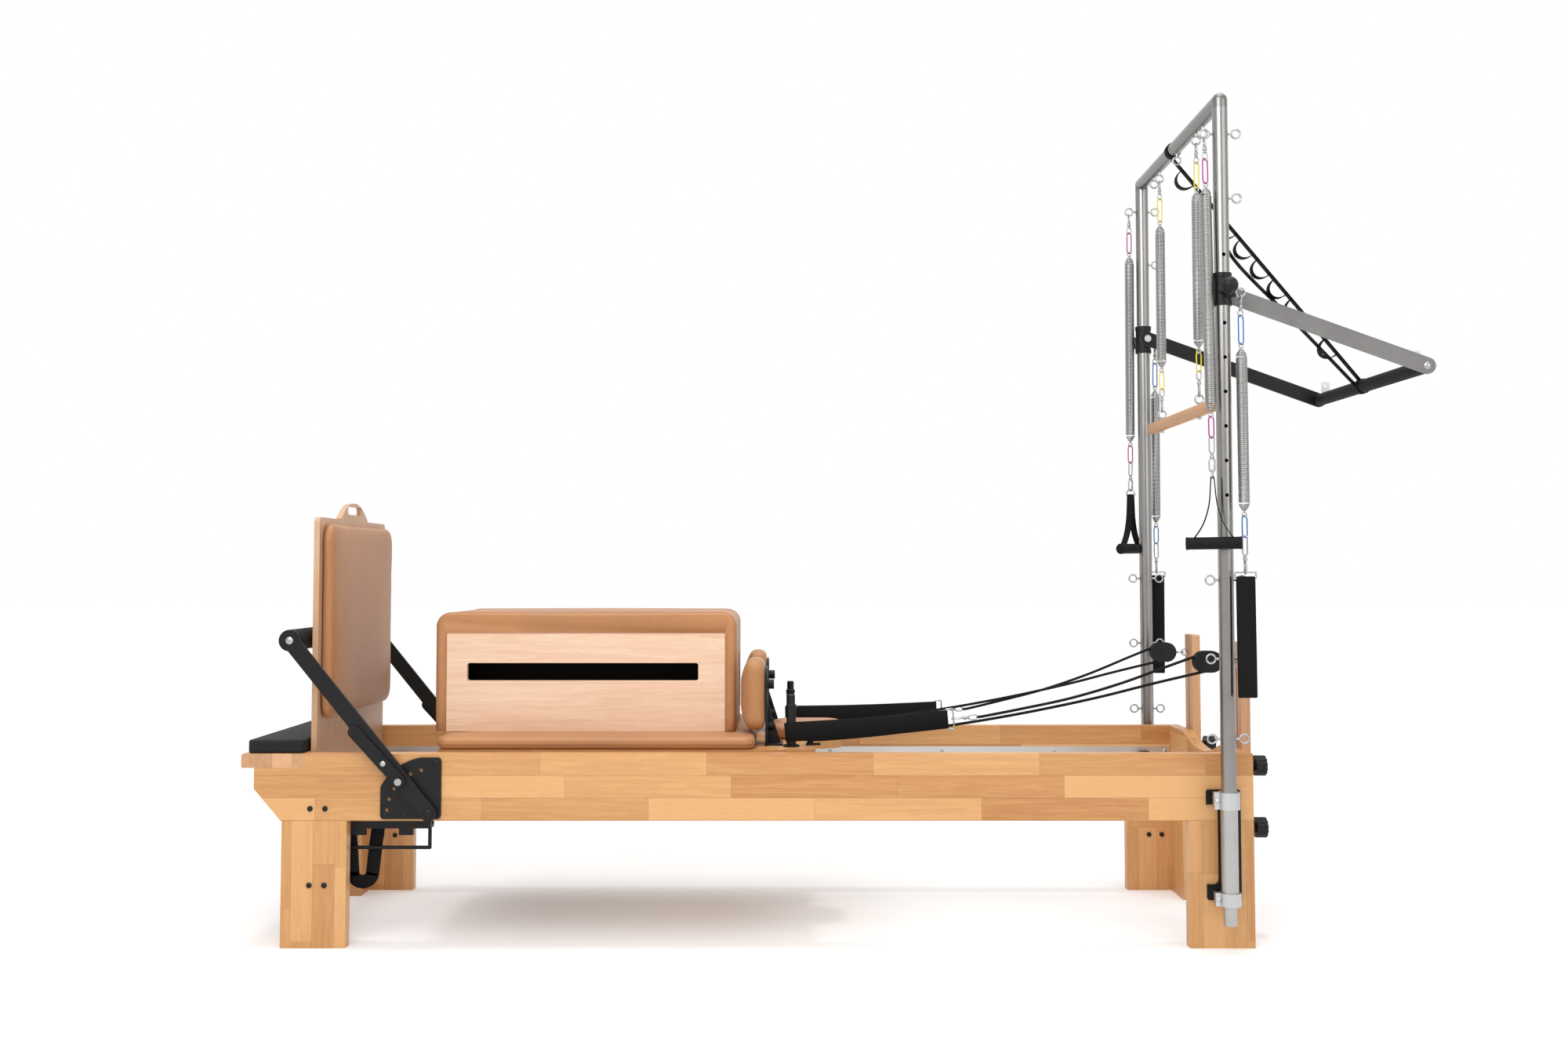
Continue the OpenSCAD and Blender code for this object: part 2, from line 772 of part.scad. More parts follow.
grip_x = -footbar_l * cos(footbar_angle);
grip_z = footbar_l * sin(footbar_angle);
lock_x = lock_r * cos(lock_angle);
lock_z = lock_r * sin(lock_angle);
module footbar_arms() {
  arm_in = -footbar_y - footbar_arm_t / 2;
  lock_t = 6;
  color(black)
    footbar_at_pivot()
      both_sides() {
        plate_xz(arm_in, footbar_arm_t)
          difference() {
            rotate([0, 0, 180 - footbar_angle]) {
              slot_2d(footbar_l, footbar_arm_w);
              translate([footbar_l, 0]) circle(d = footbar_d);
            }
            translate([lock_x, lock_z]) circle(d = lock_pin_d + 2 * fit_gap);
          }
        plate_xz(arm_in - lock_t, lock_t)
          translate([lock_x, lock_z])
            difference() {
              rotate([0, 0, lock_bar_turn]) slot_2d(lock_bar_l, 30);
              circle(d = lock_pin_d + 2 * fit_gap);
            }
        bar_y(12, -half_w - 0.5, arm_in);
      }
  color(steel)
    footbar_at_pivot()
      both_sides() {
        translate([grip_x, arm_in - seat_gap, grip_z]) bolt_head(18, 5, near);
        translate([0, arm_in - seat_gap, 0]) bolt_head(20, 6, near);
        translate([lock_x, arm_in - lock_t - seat_gap, lock_z])
          rotate([0, -lock_bar_turn, 0]) translate([lock_bar_l * 0.36, 0, 0]) bolt_head(13, 4, near);
      }
}

lock_bar_l = 160;
lock_bar_turn = 133;

module footbar_grip() {
  l = 2 * (footbar_y - footbar_arm_t / 2 - seat_gap);
  color(black)
    footbar_at_pivot()
      translate([grip_x, 0, grip_z]) {
        bar_y(footbar_d, -l / 2 + 4, l / 2 - 4);
        bar_y(footbar_d - 8, -l / 2, l / 2);
      }
}

// Sprung pin that locks the footbar, one side; its nose stops at the plate
module lock_pin(side) {
  nose = half_w + side_plate_t + soft_gap;
  head = footbar_y + footbar_arm_t / 2 + 6 + soft_gap;
  color(steel)
    footbar_at_pivot()
      translate([lock_x, 0, lock_z]) {
        bar_y(lock_pin_d, side * nose, side * (head + 4));
        bar_y(17, side * head, side * (head + 12));
      }
}

module lock_pin_near() {
  lock_pin(near);
}

module lock_pin_far() {
  lock_pin(far);
}

// Plywood jump board with its arched carrying handle
module jump_board_outline() {
  h = jump_board_top - jump_bottom;
  handle_w = 250;
  translate([-jump_w / 2, 0]) round_rect(jump_w, h, 14);
  difference() {
    intersection() {
      translate([0, h + jump_handle_h - 190]) circle(r = 190, $fn = 96);
      translate([-handle_w / 2, h - 10]) round_rect(handle_w, 90, 26);
    }
    translate([-52, h + jump_handle_h - 20]) slot_2d(104, 22);
  }
}

module jump_board() {
  color(dark_wood)
    translate([jump_x, 0, jump_bottom])
      rotate([90, 0, 90]) linear_extrude(jump_t) jump_board_outline();
}

module jump_board_pad() {
  pad_z = jump_board_top - 7 - jump_pad_h / 2;
  color(vinyl)
    translate([jump_x + jump_t + seat_gap, 0, pad_z])
      rotate([90, 0, 90]) cushion(jump_pad_w, jump_pad_h, jump_pad_t, 50, 10, 4, 40);
}

// Deck with a rounded head tongue, and the steel wheel brackets under it
module deck_outline() {
  translate([carriage_x, -deck_w / 2]) round_rect(deck_l, deck_w, 30);
  translate([deck_end - 60, -100]) round_rect(60 + tongue_l, 200, 60);
}

bracket_y = wheel_y - wheel_w / 2 - 4;
module wheel_bracket(x) {
  plate_z = wheel_z - 14;
  translate([x - 22, -bracket_y, plate_z]) cube([44, 4, deck_z - plate_z - seat_gap]);
  translate([x - 22, -bracket_y, deck_z - 5 - seat_gap]) cube([44, 40, 5]);
  translate([x, 0, wheel_z]) bar_y(axle_d, -bracket_y + 2, -wheel_y - wheel_w / 2 + 1);
}

module carriage_deck() {
  color(wood) translate([0, 0, deck_z]) linear_extrude(deck_t) deck_outline();
  color(steel)
    both_sides() {
      wheel_bracket(foot_wheel_x);
      wheel_bracket(head_wheel_x);
    }
  color(steel)
    translate([drive_hook_x, -bar_y_end + 40, spring_bar_z - 12])
      cube([8, 2 * (bar_y_end - 40), deck_z - spring_bar_z + 12 - seat_gap]);
}

// A pair of ball-bearing wheels on one axis
module wheel_pair(x) {
  color([0.25, 0.25, 0.27])
    translate([x, 0, wheel_z])
      both_sides()
        translate([0, -wheel_y + wheel_w / 2, 0])
          rotate([90, 0, 0])
            rotate_extrude()
              difference() {
                translate([axle_d / 2 + fit_gap, 0.5])
                  square([wheel_d / 2 - axle_d / 2 - fit_gap, wheel_w - 1]);
                translate([wheel_d / 2 - 11, -1]) square([5, 4]);
                translate([wheel_d / 2 - 11, wheel_w - 3]) square([5, 4]);
              }
}

module foot_wheels() {
  wheel_pair(foot_wheel_x);
}

module head_wheels() {
  wheel_pair(head_wheel_x);
}

module carriage_mat() {
  color(vinyl)
    translate([carriage_x + mat_l / 2, 0, mat_z])
      cushion(mat_l, mat_w, mat_t, 26, mat_crown, 2, 40);
}

// Headrest on its hinge at the shoulder end
headrest_x = deck_end - 118;
hinge_z = deck_top + 4;
module headrest() {
  color(vinyl)
    translate([headrest_x + headrest_l / 2, 0, deck_top + 6])
      cushion(headrest_l, headrest_w, headrest_t - 6, 26, 6, 2);
  color(dark_wood)
    translate([headrest_x + 12, -headrest_w / 2 + 12, deck_top + soft_gap])
      cube([headrest_l - 24, headrest_w - 24, 5.4]);
}

module shoulder_pads() {
  color(vinyl)
    both_sides()
      translate([shoulder_x - seat_gap, -shoulder_y, box_z + shoulder_h / 2])
        rotate([90, 0, -90]) cushion(shoulder_w, shoulder_h, shoulder_t, 34, 16, 3, 28);
}

// Upright plates behind the shoulder rests, their feet and hand screws
module shoulder_brackets() {
  h = shoulder_h + 4;
  color(black)
    both_sides() {
      translate([shoulder_x, -shoulder_y - 56, deck_top + seat_gap])
        rotate([90, 0, 90]) linear_extrude(6) round_rect(112, h, 18);
      translate([shoulder_x, -shoulder_y - 40, deck_top + seat_gap]) cube([44, 80, 5]);
      translate([shoulder_x + 3, -shoulder_y - 5, deck_top + 4])
        rotate([90, 0, 0]) mirror([0, 0, 1]) linear_extrude(10)
          polygon([[0, 0], [36, 0], [0, 110]]);
      for (z = [46, 150])
        translate([shoulder_x, -shoulder_y, deck_top + z]) bar_x(24, 5, 22);
    }
}

// Strap pegs with their light rings and caps, and the rope cleats beside them
module strap_peg() {
  rotate_extrude()
    polygon([
      [0, 0], [peg_d / 2 + 9, 0], [peg_d / 2 + 9, 4], [peg_d / 2, 7],
      [peg_d / 2, peg_h - 24], [peg_d / 2 - 2, peg_h - 22], [peg_d / 2 - 2, peg_h - 2],
      [peg_d / 2 - 4, peg_h], [0, peg_h]
    ]);
}

module strap_pegs() {
  color(black)
    both_sides() {
      translate([peg_x, -peg_y, deck_top + seat_gap]) strap_peg();
      translate([cleat_x - 52, -peg_y + 34, deck_top + seat_gap]) {
        translate([0, -9, 0]) cube([36, 18, 5]);
        translate([11, 0, 4.8]) cylinder(d = 16, h = 9);
        translate([-5, 0, 13.6]) rotate([0, 90, 0]) cylinder(d = 9, h = 46);
      }
    }
  color(steel)
    both_sides()
      translate([peg_x, -peg_y, deck_top + peg_h - 32])
        rotate_extrude() translate([peg_d / 2 + 0.1, 0]) square([1.6, 7]);
}

// Foot strap loops round the pegs, with the rings and hooks that join them to the ropes
strap_rises = [4.6, 1.8];
strap_ls = [386, 403];
strap_z = deck_top + 36;
strap_ring_l = 22;
strap_hook_l = 66;
hook_x = strap_ring_l - 1.5 * link_wire - hook_wire - seat_gap;

// Outline of a strap's inner face, or of its outer face when grown by the webbing
module strap_outline(l, r, grow) {
  tip = link_wire / 2 + seat_gap + grow;
  circle(r = r + grow);
  translate([l, 0]) circle(r = tip);
  polygon([[0, -r - grow], [l, -tip], [l, tip], [0, r + grow]]);
}

module strap_loop(l, rise) {
  r = peg_d / 2 + foot_strap_w / 2 * tan(rise) + soft_gap;
  rotate([0, -rise, 0]) {
    color(black)
      translate([0, 0, -foot_strap_w / 2])
        linear_extrude(foot_strap_w)
          difference() {
            strap_outline(l, r, web_t);
            strap_outline(l, r, 0);
          }
    color(steel)
      translate([l, 0, 0])
        rotate([0, -90, 0]) {
          translate([0, 0, link_wire / 2])
            square_ring(foot_strap_w + 9, strap_ring_l, link_wire);
          translate([0, 0, -hook_x]) snap_hook(strap_hook_l, 90, 0);
        }
  }
}

module foot_straps() {
  translate([peg_x, -peg_y, strap_z]) strap_loop(strap_ls[0], strap_rises[0]);
  translate([peg_x, peg_y, strap_z]) strap_loop(strap_ls[1], strap_rises[1]);
}

// Drive springs from the spring bar to the hook bar under the deck
drive_hook_x = carriage_x + 416;
drive_x0 = spring_bar_x + 8;
module carriage_springs() {
  pitch = 2 * (bar_y_end - 70) / 4;
  color(steel)
    for (k = [0 : spring_count - 1])
      translate([drive_x0 + seat_gap, (k - (spring_count - 1) / 2) * pitch, spring_bar_z]) {
        bar_x(drive_spring_d, 24, drive_hook_x - drive_x0 - 24);
        bar_x(6, 0, 24.1);
        bar_x(6, drive_hook_x - drive_x0 - 24.1, drive_hook_x - drive_x0 - 2 * seat_gap);
      }
}

// Sitting box: a carcass of five panels, slotted at the sides, under a wrapped cover
box_x = carriage_x - 26;
carcass_l = box_l - 2 * cover_t;
carcass_h = box_h - 6 - cover_t * 1.7;
box_side_y = box_w / 2 - 2;
module box_side() {
  difference() {
    square([carcass_l, carcass_h]);
    translate([(carcass_l - slot_l) / 2 - 8, carcass_h * 0.605 - slot_h / 2])
      round_rect(slot_l, slot_h, 6);
  }
}

module box_panels() {
  color([0.93, 0.79, 0.66])
    translate([box_x + cover_t, 0, box_z]) {
      both_sides() plate_xz(-box_side_y, panel_t) box_side();
      for (x = [0, carcass_l - panel_t])
        translate([x, -box_side_y + panel_t, 0])
          cube([panel_t, 2 * (box_side_y - panel_t), carcass_h]);
      translate([panel_t, -box_side_y + panel_t, carcass_h - panel_t])
        cube([carcass_l - 2 * panel_t, 2 * (box_side_y - panel_t), panel_t]);
    }
}

module box_cover() {
  crown_r = 9000;
  color(vinyl)
    plate_xz(-box_w / 2, box_w)
      translate([box_x, box_z])
        difference() {
          intersection() {
            union() {
              translate([0, 0]) round_rect(box_l, box_h * 0.5, 12);
              translate([0, box_h * 0.2]) round_rect(box_l, box_h * 0.8, 36);
            }
            translate([box_l / 2, box_h - crown_r]) circle(r = crown_r, $fn = 360);
          }
          translate([cover_t - soft_gap, -1])
            square([carcass_l + 2 * soft_gap, carcass_h + 1 + soft_gap]);
        }
}

// Tower posts with their pin holes, lower sleeves and plugs
module tower_post() {
  difference() {
    translate([0, 0, post_bottom]) cylinder(d = post_d, h = crossbar_joint - post_bottom);
    translate([0, 0, post_bottom - 1])
      cylinder(d = post_d - 2 * post_wall, h = crossbar_joint - post_bottom + 2);
    for (k = [1 : -1 : -6])
      translate([0, 0, slider_z + k * hole_step]) bar_y(9, -post_d, 0);
  }
  translate([0, 0, post_bottom])
    difference() {
      cylinder(d = sleeve_d, h = sleeve_top - post_bottom);
      translate([0, 0, -1]) cylinder(d = post_d + 2 * fit_gap, h = sleeve_top - post_bottom + 2);
    }
  translate([0, 0, post_bottom - plug_l])
    cylinder(d = post_d - 2 * post_wall - 2 * fit_gap, h = plug_l);
  translate([0, 0, post_bottom - 1])
    cylinder(d = post_d - 2 * post_wall - 1, h = 120);
}

module tower_posts() {
  color(steel)
    both_sides() translate([tower_x, -tower_y, 0]) tower_post();
}

module tower_crossbar() {
  color(steel)
    translate([tower_x, 0, crossbar_z]) {
      bar_y(post_d, -tower_y, tower_y);
      both_sides()
        translate([0, -tower_y, 0]) {
          sphere(d = post_d);
          translate([0, 0, crossbar_joint - crossbar_z + seat_gap])
            cylinder(d = post_d, h = crossbar_z - crossbar_joint - seat_gap);
        }
    }
}

// Bracket plates that carry the tower on the rails and legs
bracket_bolts = [[tower_x - 24, 358], [tower_x - 24, 134]];
module tower_bracket_outline() {
  w = 82;
  h = 262;
  translate([tower_x - w / 2, 115])
    difference() {
      round_rect(w, h, 6);
      translate([-8, 37]) round_rect(8 + 28, h - 72, 12);
    }
}

module tower_brackets() {
  color(black)
    both_sides() {
      plate_xz(-half_w - side_plate_t, side_plate_t) tower_bracket_outline();
      for (z = [post_bottom + 2, sleeve_top - 38])
        translate([tower_x - 13, -half_w - side_plate_t - 18, z])
          cube([26, 18, 30]);
    }
}

// Split clamps round the sleeves, with their ears and screws
module tower_clamp(h) {
  difference() {
    union() {
      cylinder(d = sleeve_d + 11, h = h);
      translate([-36, -7, 0]) cube([24, 14, h]);
      translate([-13, 0, 0]) cube([26, tower_y - half_w - side_plate_t - 18 - seat_gap, h]);
    }
    translate([0, 0, -1]) cylinder(d = sleeve_d + 2 * fit_gap, h = h + 2);
    translate([-40, -1, -1]) cube([26, 2, h + 2]);
  }
}

module tower_clamps() {
  color([0.78, 0.79, 0.8])
    both_sides() {
      translate([tower_x, -tower_y, sleeve_top - 40]) tower_clamp(40);
      translate([tower_x, -tower_y, post_bottom]) tower_clamp(31);
    }
  color(steel)
    both_sides()
      for (z = [sleeve_top - 20, post_bottom + 15])
        translate([tower_x - 29, -tower_y - 7 - seat_gap, z]) bolt_head(10, 4, near);
}

// Eyebolts on the posts and under the crossbar
post_eye_zs = [hand_eye_z, 879, 692, 503];
cross_eye_ys = [-247, bar_ys[0], 0, bar_ys[1], 247];
module tower_eyebolts() {
  color(steel) {
    both_sides()
      translate([tower_x, -tower_y, 0]) {
        for (z = post_eye_zs) {
          translate([0, 0, z]) eyebolt();
          translate([0, 0, z]) mirror([1, 0, 0]) eyebolt();
        }
        translate([0, 0, 1798]) eyebolt();
      }
    for (y = cross_eye_ys)
      translate([tower_x, y, crossbar_z]) rotate([0, 90, 0]) eyebolt();
  }
}

// Webbing safety strap: a band round the crossbar, a looped strand and a plain one
strap_w = 25;
strap_top = [tower_x - 2, crossbar_z - 22];
strap_hold = [pivot_x + push_l * cos(push_angle), slider_z - push_l * sin(push_angle)];
strap_end = strap_hold + [-8, push_grip_d / 2 + 0.6];
daisy_loops = 6;
module strand(a, b) {
  d = b - a;
  translate(a) circle(d = web_t, $fn = 16);
  translate(a)
    rotate([0, 0, atan2(d[1], d[0])])
      translate([0, -web_t / 2]) square([norm(d), web_t]);
}

module strap_band(at, d) {
  translate(at)
    difference() {
      circle(d = d + 2 * seat_gap + 2 * web_t);
      circle(d = d + 2 * seat_gap);
    }
}

module safety_strap() {
  run = strap_end - strap_top;
  lower_a = strap_top + run * 0.25;
  lower_b = strap_top + run * 0.34 + [-12, -64];
  lower_c = strap_hold + [-push_grip_d / 2 - 1.4, 4];
  color(black)
    plate_xz(40 - strap_w / 2, strap_w) {
      strap_band([tower_x, crossbar_z], post_d);
      strap_band(strap_hold, push_grip_d);
      strand(strap_top, strap_end);
      strand(lower_a, lower_b);
      strand(lower_b, lower_c);
      for (k = [0 : daisy_loops - 1])
        translate(strap_top + run * (0.3 + 0.075 * k))
          rotate([0, 0, atan2(run[1], run[0])])
            difference() {
              circle(r = 25);
              circle(r = 25 - web_t);
              translate([-40, 0]) square([80, 40]);
            }
    }
}

// Slider collars with their end rings, pivot lugs, pin housings and spring eyes
module slider_collar() {
  inner = post_d + 2 * fit_gap;
  color(black)
    difference() {
      union() {
        translate([0, 0, -collar_h / 2]) cylinder(d = collar_d - 3, h = collar_h);
        for (z = [-collar_h / 2, collar_h / 2 - 10])
          translate([0, 0, z]) cylinder(d = collar_d, h = 10);
        bar_y(30, -pin_boss, 0);
        translate([5, 0, 0]) bar_y(28, collar_d / 2 - 12, collar_d / 2);
        translate([0, tower_y - leg_y - 6, -22]) cube([collar_d / 2 + 2, 12, 24]);
      }
      translate([0, 0, -collar_h / 2 - 1]) cylinder(d = inner, h = collar_h + 2);
      bar_y(9 + 2 * fit_gap, -pin_boss - 1, 0);
    }
  color(steel) {
    translate([leg_x - tower_x, tower_y - leg_y, leg_eye_z - slider_z]) {
      ring_y(eye_r, eye_wire);
      bar_x(eye_wire + 1.6, collar_d / 2 + 2 + seat_gap - eye_out, -eye_r);
    }
    translate([5, 0, 0]) {
      bar_y(10, collar_d / 2 + seat_gap, collar_d / 2 + push_arm_t + 6);
      bar_y(20, collar_d / 2 + push_arm_t + 1 + soft_gap, collar_d / 2 + push_arm_t + 6);
    }
  }
}

module slider_collars() {
  both_sides() translate([tower_x, -tower_y, slider_z]) slider_collar();
}

// Sprung pin with a ball knob; its nose stops at the post's face
module pop_pin(side) {
  nose = post_d / 2 + soft_gap;
  knob_y = pin_boss + soft_gap;
  knob_l = knob_d * 0.85;
  color(black)
    translate([tower_x, side * tower_y, slider_z])
      rotate([-90 * side, 0, 0]) {
        translate([0, 0, nose]) cylinder(d = 9, h = knob_y - nose + 3);
        translate([0, 0, knob_y])
          rotate_extrude()
            intersection() {
              translate([0, knob_l - knob_d / 2]) circle(d = knob_d);
              square([knob_d / 2, knob_l]);
            }
      }
}

module pop_pin_near() {
  pop_pin(near);
}

module pop_pin_far() {
  pop_pin(far);
}

// Push bar: flat arms with rounded ends, a foam grip and the tabs beside it
module push_at_pivot() {
  translate([pivot_x, 0, slider_z]) rotate([0, push_angle, 0]) children();
}

module push_arms() {
  pivot_hole = 10 + 2 * fit_gap;
  color([0.42, 0.42, 0.42])
    push_at_pivot()
      both_sides()
        plate_xz(-push_y - push_arm_t / 2, push_arm_t)
          difference() {
            slot_2d(push_l, push_arm_w);
            circle(d = pivot_hole);
          }
  color(steel)
    push_at_pivot()
      both_sides() {
        translate([push_l, -push_y - push_arm_t / 2 - seat_gap, 0]) bolt_head(18, 4, near);
        translate([push_l, -push_y + 60, 0])
          rotate([0, -push_angle, 0])
            plate_xz(0, 3)
              difference() {
                translate([-14, push_grip_d / 2 - 2]) round_rect(24, 30, 5);
                translate([-2, push_grip_d / 2 + 18]) circle(d = 8);
                circle(d = push_grip_d);
              }
      }
}

module push_grip() {
  l = push_y - push_arm_t / 2 - seat_gap;
  color(black)
    push_at_pivot()
      translate([push_l, 0, 0])
        difference() {
          bar_y(push_grip_d, -l, l);
          both_sides()
            difference() {
              translate([0, -push_y + 59.8, 0]) bar_y(push_grip_d + 1, 0, 3.4);
              translate([0, -push_y + 59, 0]) bar_y(push_grip_d - 6, 0, 5);
            }
        }
}

// Risers: slotted wooden boards outside the head end board
module riser(side) {
  color(dark_wood)
    translate([riser_x, side * riser_y, riser_bottom])
      rotate([90, 0, 90])
        linear_extrude(riser_t)
          difference() {
            translate([-riser_w / 2, 0]) round_rect(riser_w, riser_l, 5);
            translate([0, 20]) rotate([0, 0, 90]) slot_2d(riser_l - 90, 10);
          }
  color(steel)
    translate([0, side * riser_y, pulley_z]) {
      translate([riser_ring_x, 0, 0]) ring_y(8, riser_wire);
      bar_x(6, riser_ring_x + 7, riser_x - seat_gap);
    }
}

riser_wire = 4;
riser_ring_x = riser_x - 12;
block_ring_x = riser_ring_x - 8 + riser_wire + soft_gap - 9 - pulley_x;

module riser_near() {
  riser(near);
}

module riser_far() {
  riser(far);
}

// Fluted clamp knob on its threaded stem
module clamp_knob(side, z) {
  x0 = riser_x + riser_t + soft_gap;
  flutes = 12;
  color(black)
    translate([0, side * riser_y, z]) {
      translate([x0, 0, 0])
        rotate([90, 0, 90])
          linear_extrude(18) circle(d = 24);
      translate([x0 + 17.9, 0, 0])
        rotate([90, 0, 90])
          linear_extrude(27)
            difference() {
              circle(d = clamp_knob_d);
              for (k = [0 : flutes - 1])
                rotate([0, 0, 360 * k / flutes]) translate([clamp_knob_d / 2 + 2, 0]) circle(d = 9);
            }
    }
  color(steel)
    translate([0, side * riser_y, z]) bar_x(8, rail_l - end_t + 2, x0 + 0.1);
}

module knob_near_upper() {
  clamp_knob(near, knob_zs[0]);
}

module knob_near_lower() {
  clamp_knob(near, knob_zs[1]);
}

module knob_far_upper() {
  clamp_knob(far, knob_zs[0]);
}

module knob_far_lower() {
  clamp_knob(far, knob_zs[1]);
}

// Rope pulley block: two cheeks, an axle and a swivel eye in the riser's ring
sheave_w = 11;
module pulley_block(side) {
  cheek = sheave_w / 2 + 1;
  color(black)
    translate([pulley_x, side * riser_y, pulley_z])
      both_sides() {
        plate_xz(-cheek - 4, 4)
          difference() {
            translate([-9, 0]) slot_2d(18, 54);
            circle(d = 8.2);
          }
        translate([31.5, 0, 0]) bar_y(8, -cheek - 2, 1);
      }
  color(steel)
    translate([pulley_x, side * riser_y, pulley_z]) {
      bar_y(8, -cheek - 6, cheek + 6);
      bar_x(9, 35.5 + seat_gap, block_ring_x - 8);
      translate([block_ring_x, 0, 0]) rotate([90, 0, 0]) ring_y(9, riser_wire);
    }
}

module pulley_near() {
  pulley_block(near);
}

module pulley_far() {
  pulley_block(far);
}

module pulley_wheel(side) {
  groove = rope_d / 2 + soft_gap;
  color([0.2, 0.2, 0.2])
    translate([pulley_x, side * riser_y, pulley_z])
      rotate([90, 0, 0])
        translate([0, 0, -sheave_w / 2])
          rotate_extrude()
            difference() {
              translate([4 + fit_gap, 0]) square([pulley_d / 2 - 4 - fit_gap, sheave_w]);
              translate([pulley_d / 2 + 0.4, sheave_w / 2]) circle(r = groove);
            }
}

module pulley_wheel_near() {
  pulley_wheel(near);
}

module pulley_wheel_far() {
  pulley_wheel(far);
}

// Ropes: over the pulley's groove, one run to the foot strap's hook and one to the cleat
rope_steps = 6;
rope_step = 30;
hook_sags = [[0.16, 8], [0.39, 17], [0.62, 16], [0.83, 7]];
cleat_sags = [[0.14, 7], [0.29, 17], [0.45, 22], [0.61, 22], [0.77, 17], [0.89, 10]];
function rope_bend(side) = [
  for (i = [0 : rope_steps])
    let (a = 105 - rope_step * i, r = (pulley_d / 2 + 0.4) / cos(rope_step / 2))
    [pulley_x + r * cos(a), side * riser_y, pulley_z + r * sin(a)]
];
function hook_end(side, l, rise, more) = [
  peg_x + (l + hook_x + strap_hook_l + soft_gap + more) * cos(rise),
  side * peg_y,
  strap_z + (l + hook_x + strap_hook_l + soft_gap + more) * sin(rise)
];
function cleat_end(side, more) =
  [cleat_x - 11 + 2 * seat_gap + more, side * (peg_y - 34), deck_top + seat_gap + 13.6];
function sagging(a, b, sags) = [for (s = sags) a + (b - a) * s[0] - [0, 0, s[1]]];
function rope_path(side, l, rise) =
  let (
    bend = rope_bend(side),
    hook = [hook_end(side, l, rise, 0), hook_end(side, l, rise, 12)],
    cleat = [cleat_end(side, 12), cleat_end(side, 0)]
  )
  concat(
    hook, sagging(hook[1], bend[0], hook_sags), bend,
    sagging(bend[rope_steps], cleat[0], cleat_sags), cleat
  );

module ropes() {
  color(black) {
    tube(rope_path(near, strap_ls[0], strap_rises[0]), rope_d);
    tube(rope_path(far, strap_ls[1], strap_rises[1]), rope_d);
  }
}

// Hand loop set, drawn straight under its eyebolt's ring and then leaned off the post
module hand_set(side) {
  translate([hand_x, side * tower_y, hand_eye_z])
    rotate([side * hand_leans[side == near ? 0 : 1], 0, 0])
      translate([0, 0, wire_top]) children();
}

hand_hook_l = 62;
hand_spring_z = -124;
hand_apex_z = -826;
hand_grip_z = -981;
ring_w = 30;
ring_l = 22;
ring_end = hand_apex_z - link_wire / 2;
hand_hook_end = ring_end + ring_l - hook_wire - link_wire - seat_gap;
hand_turns = [-18, 50];
module handle_spring(side, turn) {
  color(steel)
    hand_set(side)
      spring_set(hand_hook_l, hand_spring_z, hand_spring_l, hand_hook_end, 0, turn / 2);
}

module handle_spring_near() {
  handle_spring(near, hand_turns[0]);
}

module handle_spring_far() {
  handle_spring(far, hand_turns[1]);
}

// Ring, webbing triangle and foam grip of a hand loop
module hand_loop(side, turn) {
  web_r = link_wire / 2 + seat_gap + web_t / 2;
  spread = hand_grip_l / 2 - 8;
  drop = hand_apex_z - hand_grip_z;
  slope = atan2(spread - web_r, drop);
  strap = norm([spread - web_r, drop]);
  hand_set(side)
    rotate([0, 0, turn]) {
      color(steel) translate([0, 0, ring_end + ring_l]) d_ring(ring_w, ring_l, link_wire, 90);
      color(black) {
        for (s = [-1, 1])
          translate([0, 0, hand_apex_z])
            rotate([0, -s * slope, 0])
              translate([s * web_r - web_t / 2, -10, -strap]) cube([web_t, 20, strap]);
        translate([0, 0, hand_apex_z])
          rotate([90, -slope, 0]) translate([0, 0, -10])
            rotate_extrude(angle = 180 - 2 * slope)
              translate([web_r - web_t / 2, 0]) square([web_t, 20]);
      }
      color([0.1, 0.1, 0.1])
        translate([0, 0, hand_grip_z]) {
          bar_x(hand_grip_d, -hand_grip_l / 2 + 5, hand_grip_l / 2 - 5);
          bar_x(hand_grip_d + 2, -hand_grip_l / 2, -hand_grip_l / 2 + 5);
          bar_x(hand_grip_d + 2, hand_grip_l / 2 - 5, hand_grip_l / 2);
        }
    }
}

module hand_loop_near() {
  hand_loop(near, hand_turns[0]);
}

module hand_loop_far() {
  hand_loop(far, hand_turns[1]);
}

// Leg strap set, which hangs from a slider's eye
module leg_set(side) {
  translate([leg_x, side * leg_y, leg_eye_z])
    rotate([side * leg_lean, 0, 0]) translate([0, 0, wire_top]) children();
}

leg_hook_l = 56;
leg_spring_z = -127;
leg_ring_z = -674;
leg_ring_l = 18;
leg_hook_end = leg_ring_z - link_wire / 2 + leg_ring_l - hook_wire - link_wire - seat_gap;
module leg_spring(side) {
  color(steel)
    leg_set(side) spring_set(leg_hook_l, leg_spring_z, leg_spring_l, leg_hook_end, 90);
}

module leg_spring_near() {
  leg_spring(near);
}

module leg_spring_far() {
  leg_spring(far);
}

// Leg strap: a wide ring and a long loop of webbing that hangs nearly shut
module web_arc(w, r) {
  translate([-w / 2, 0, 0])
    rotate([90, 0, 90]) rotate_extrude(angle = 180) translate([r, 0]) square([web_t, w]);
}

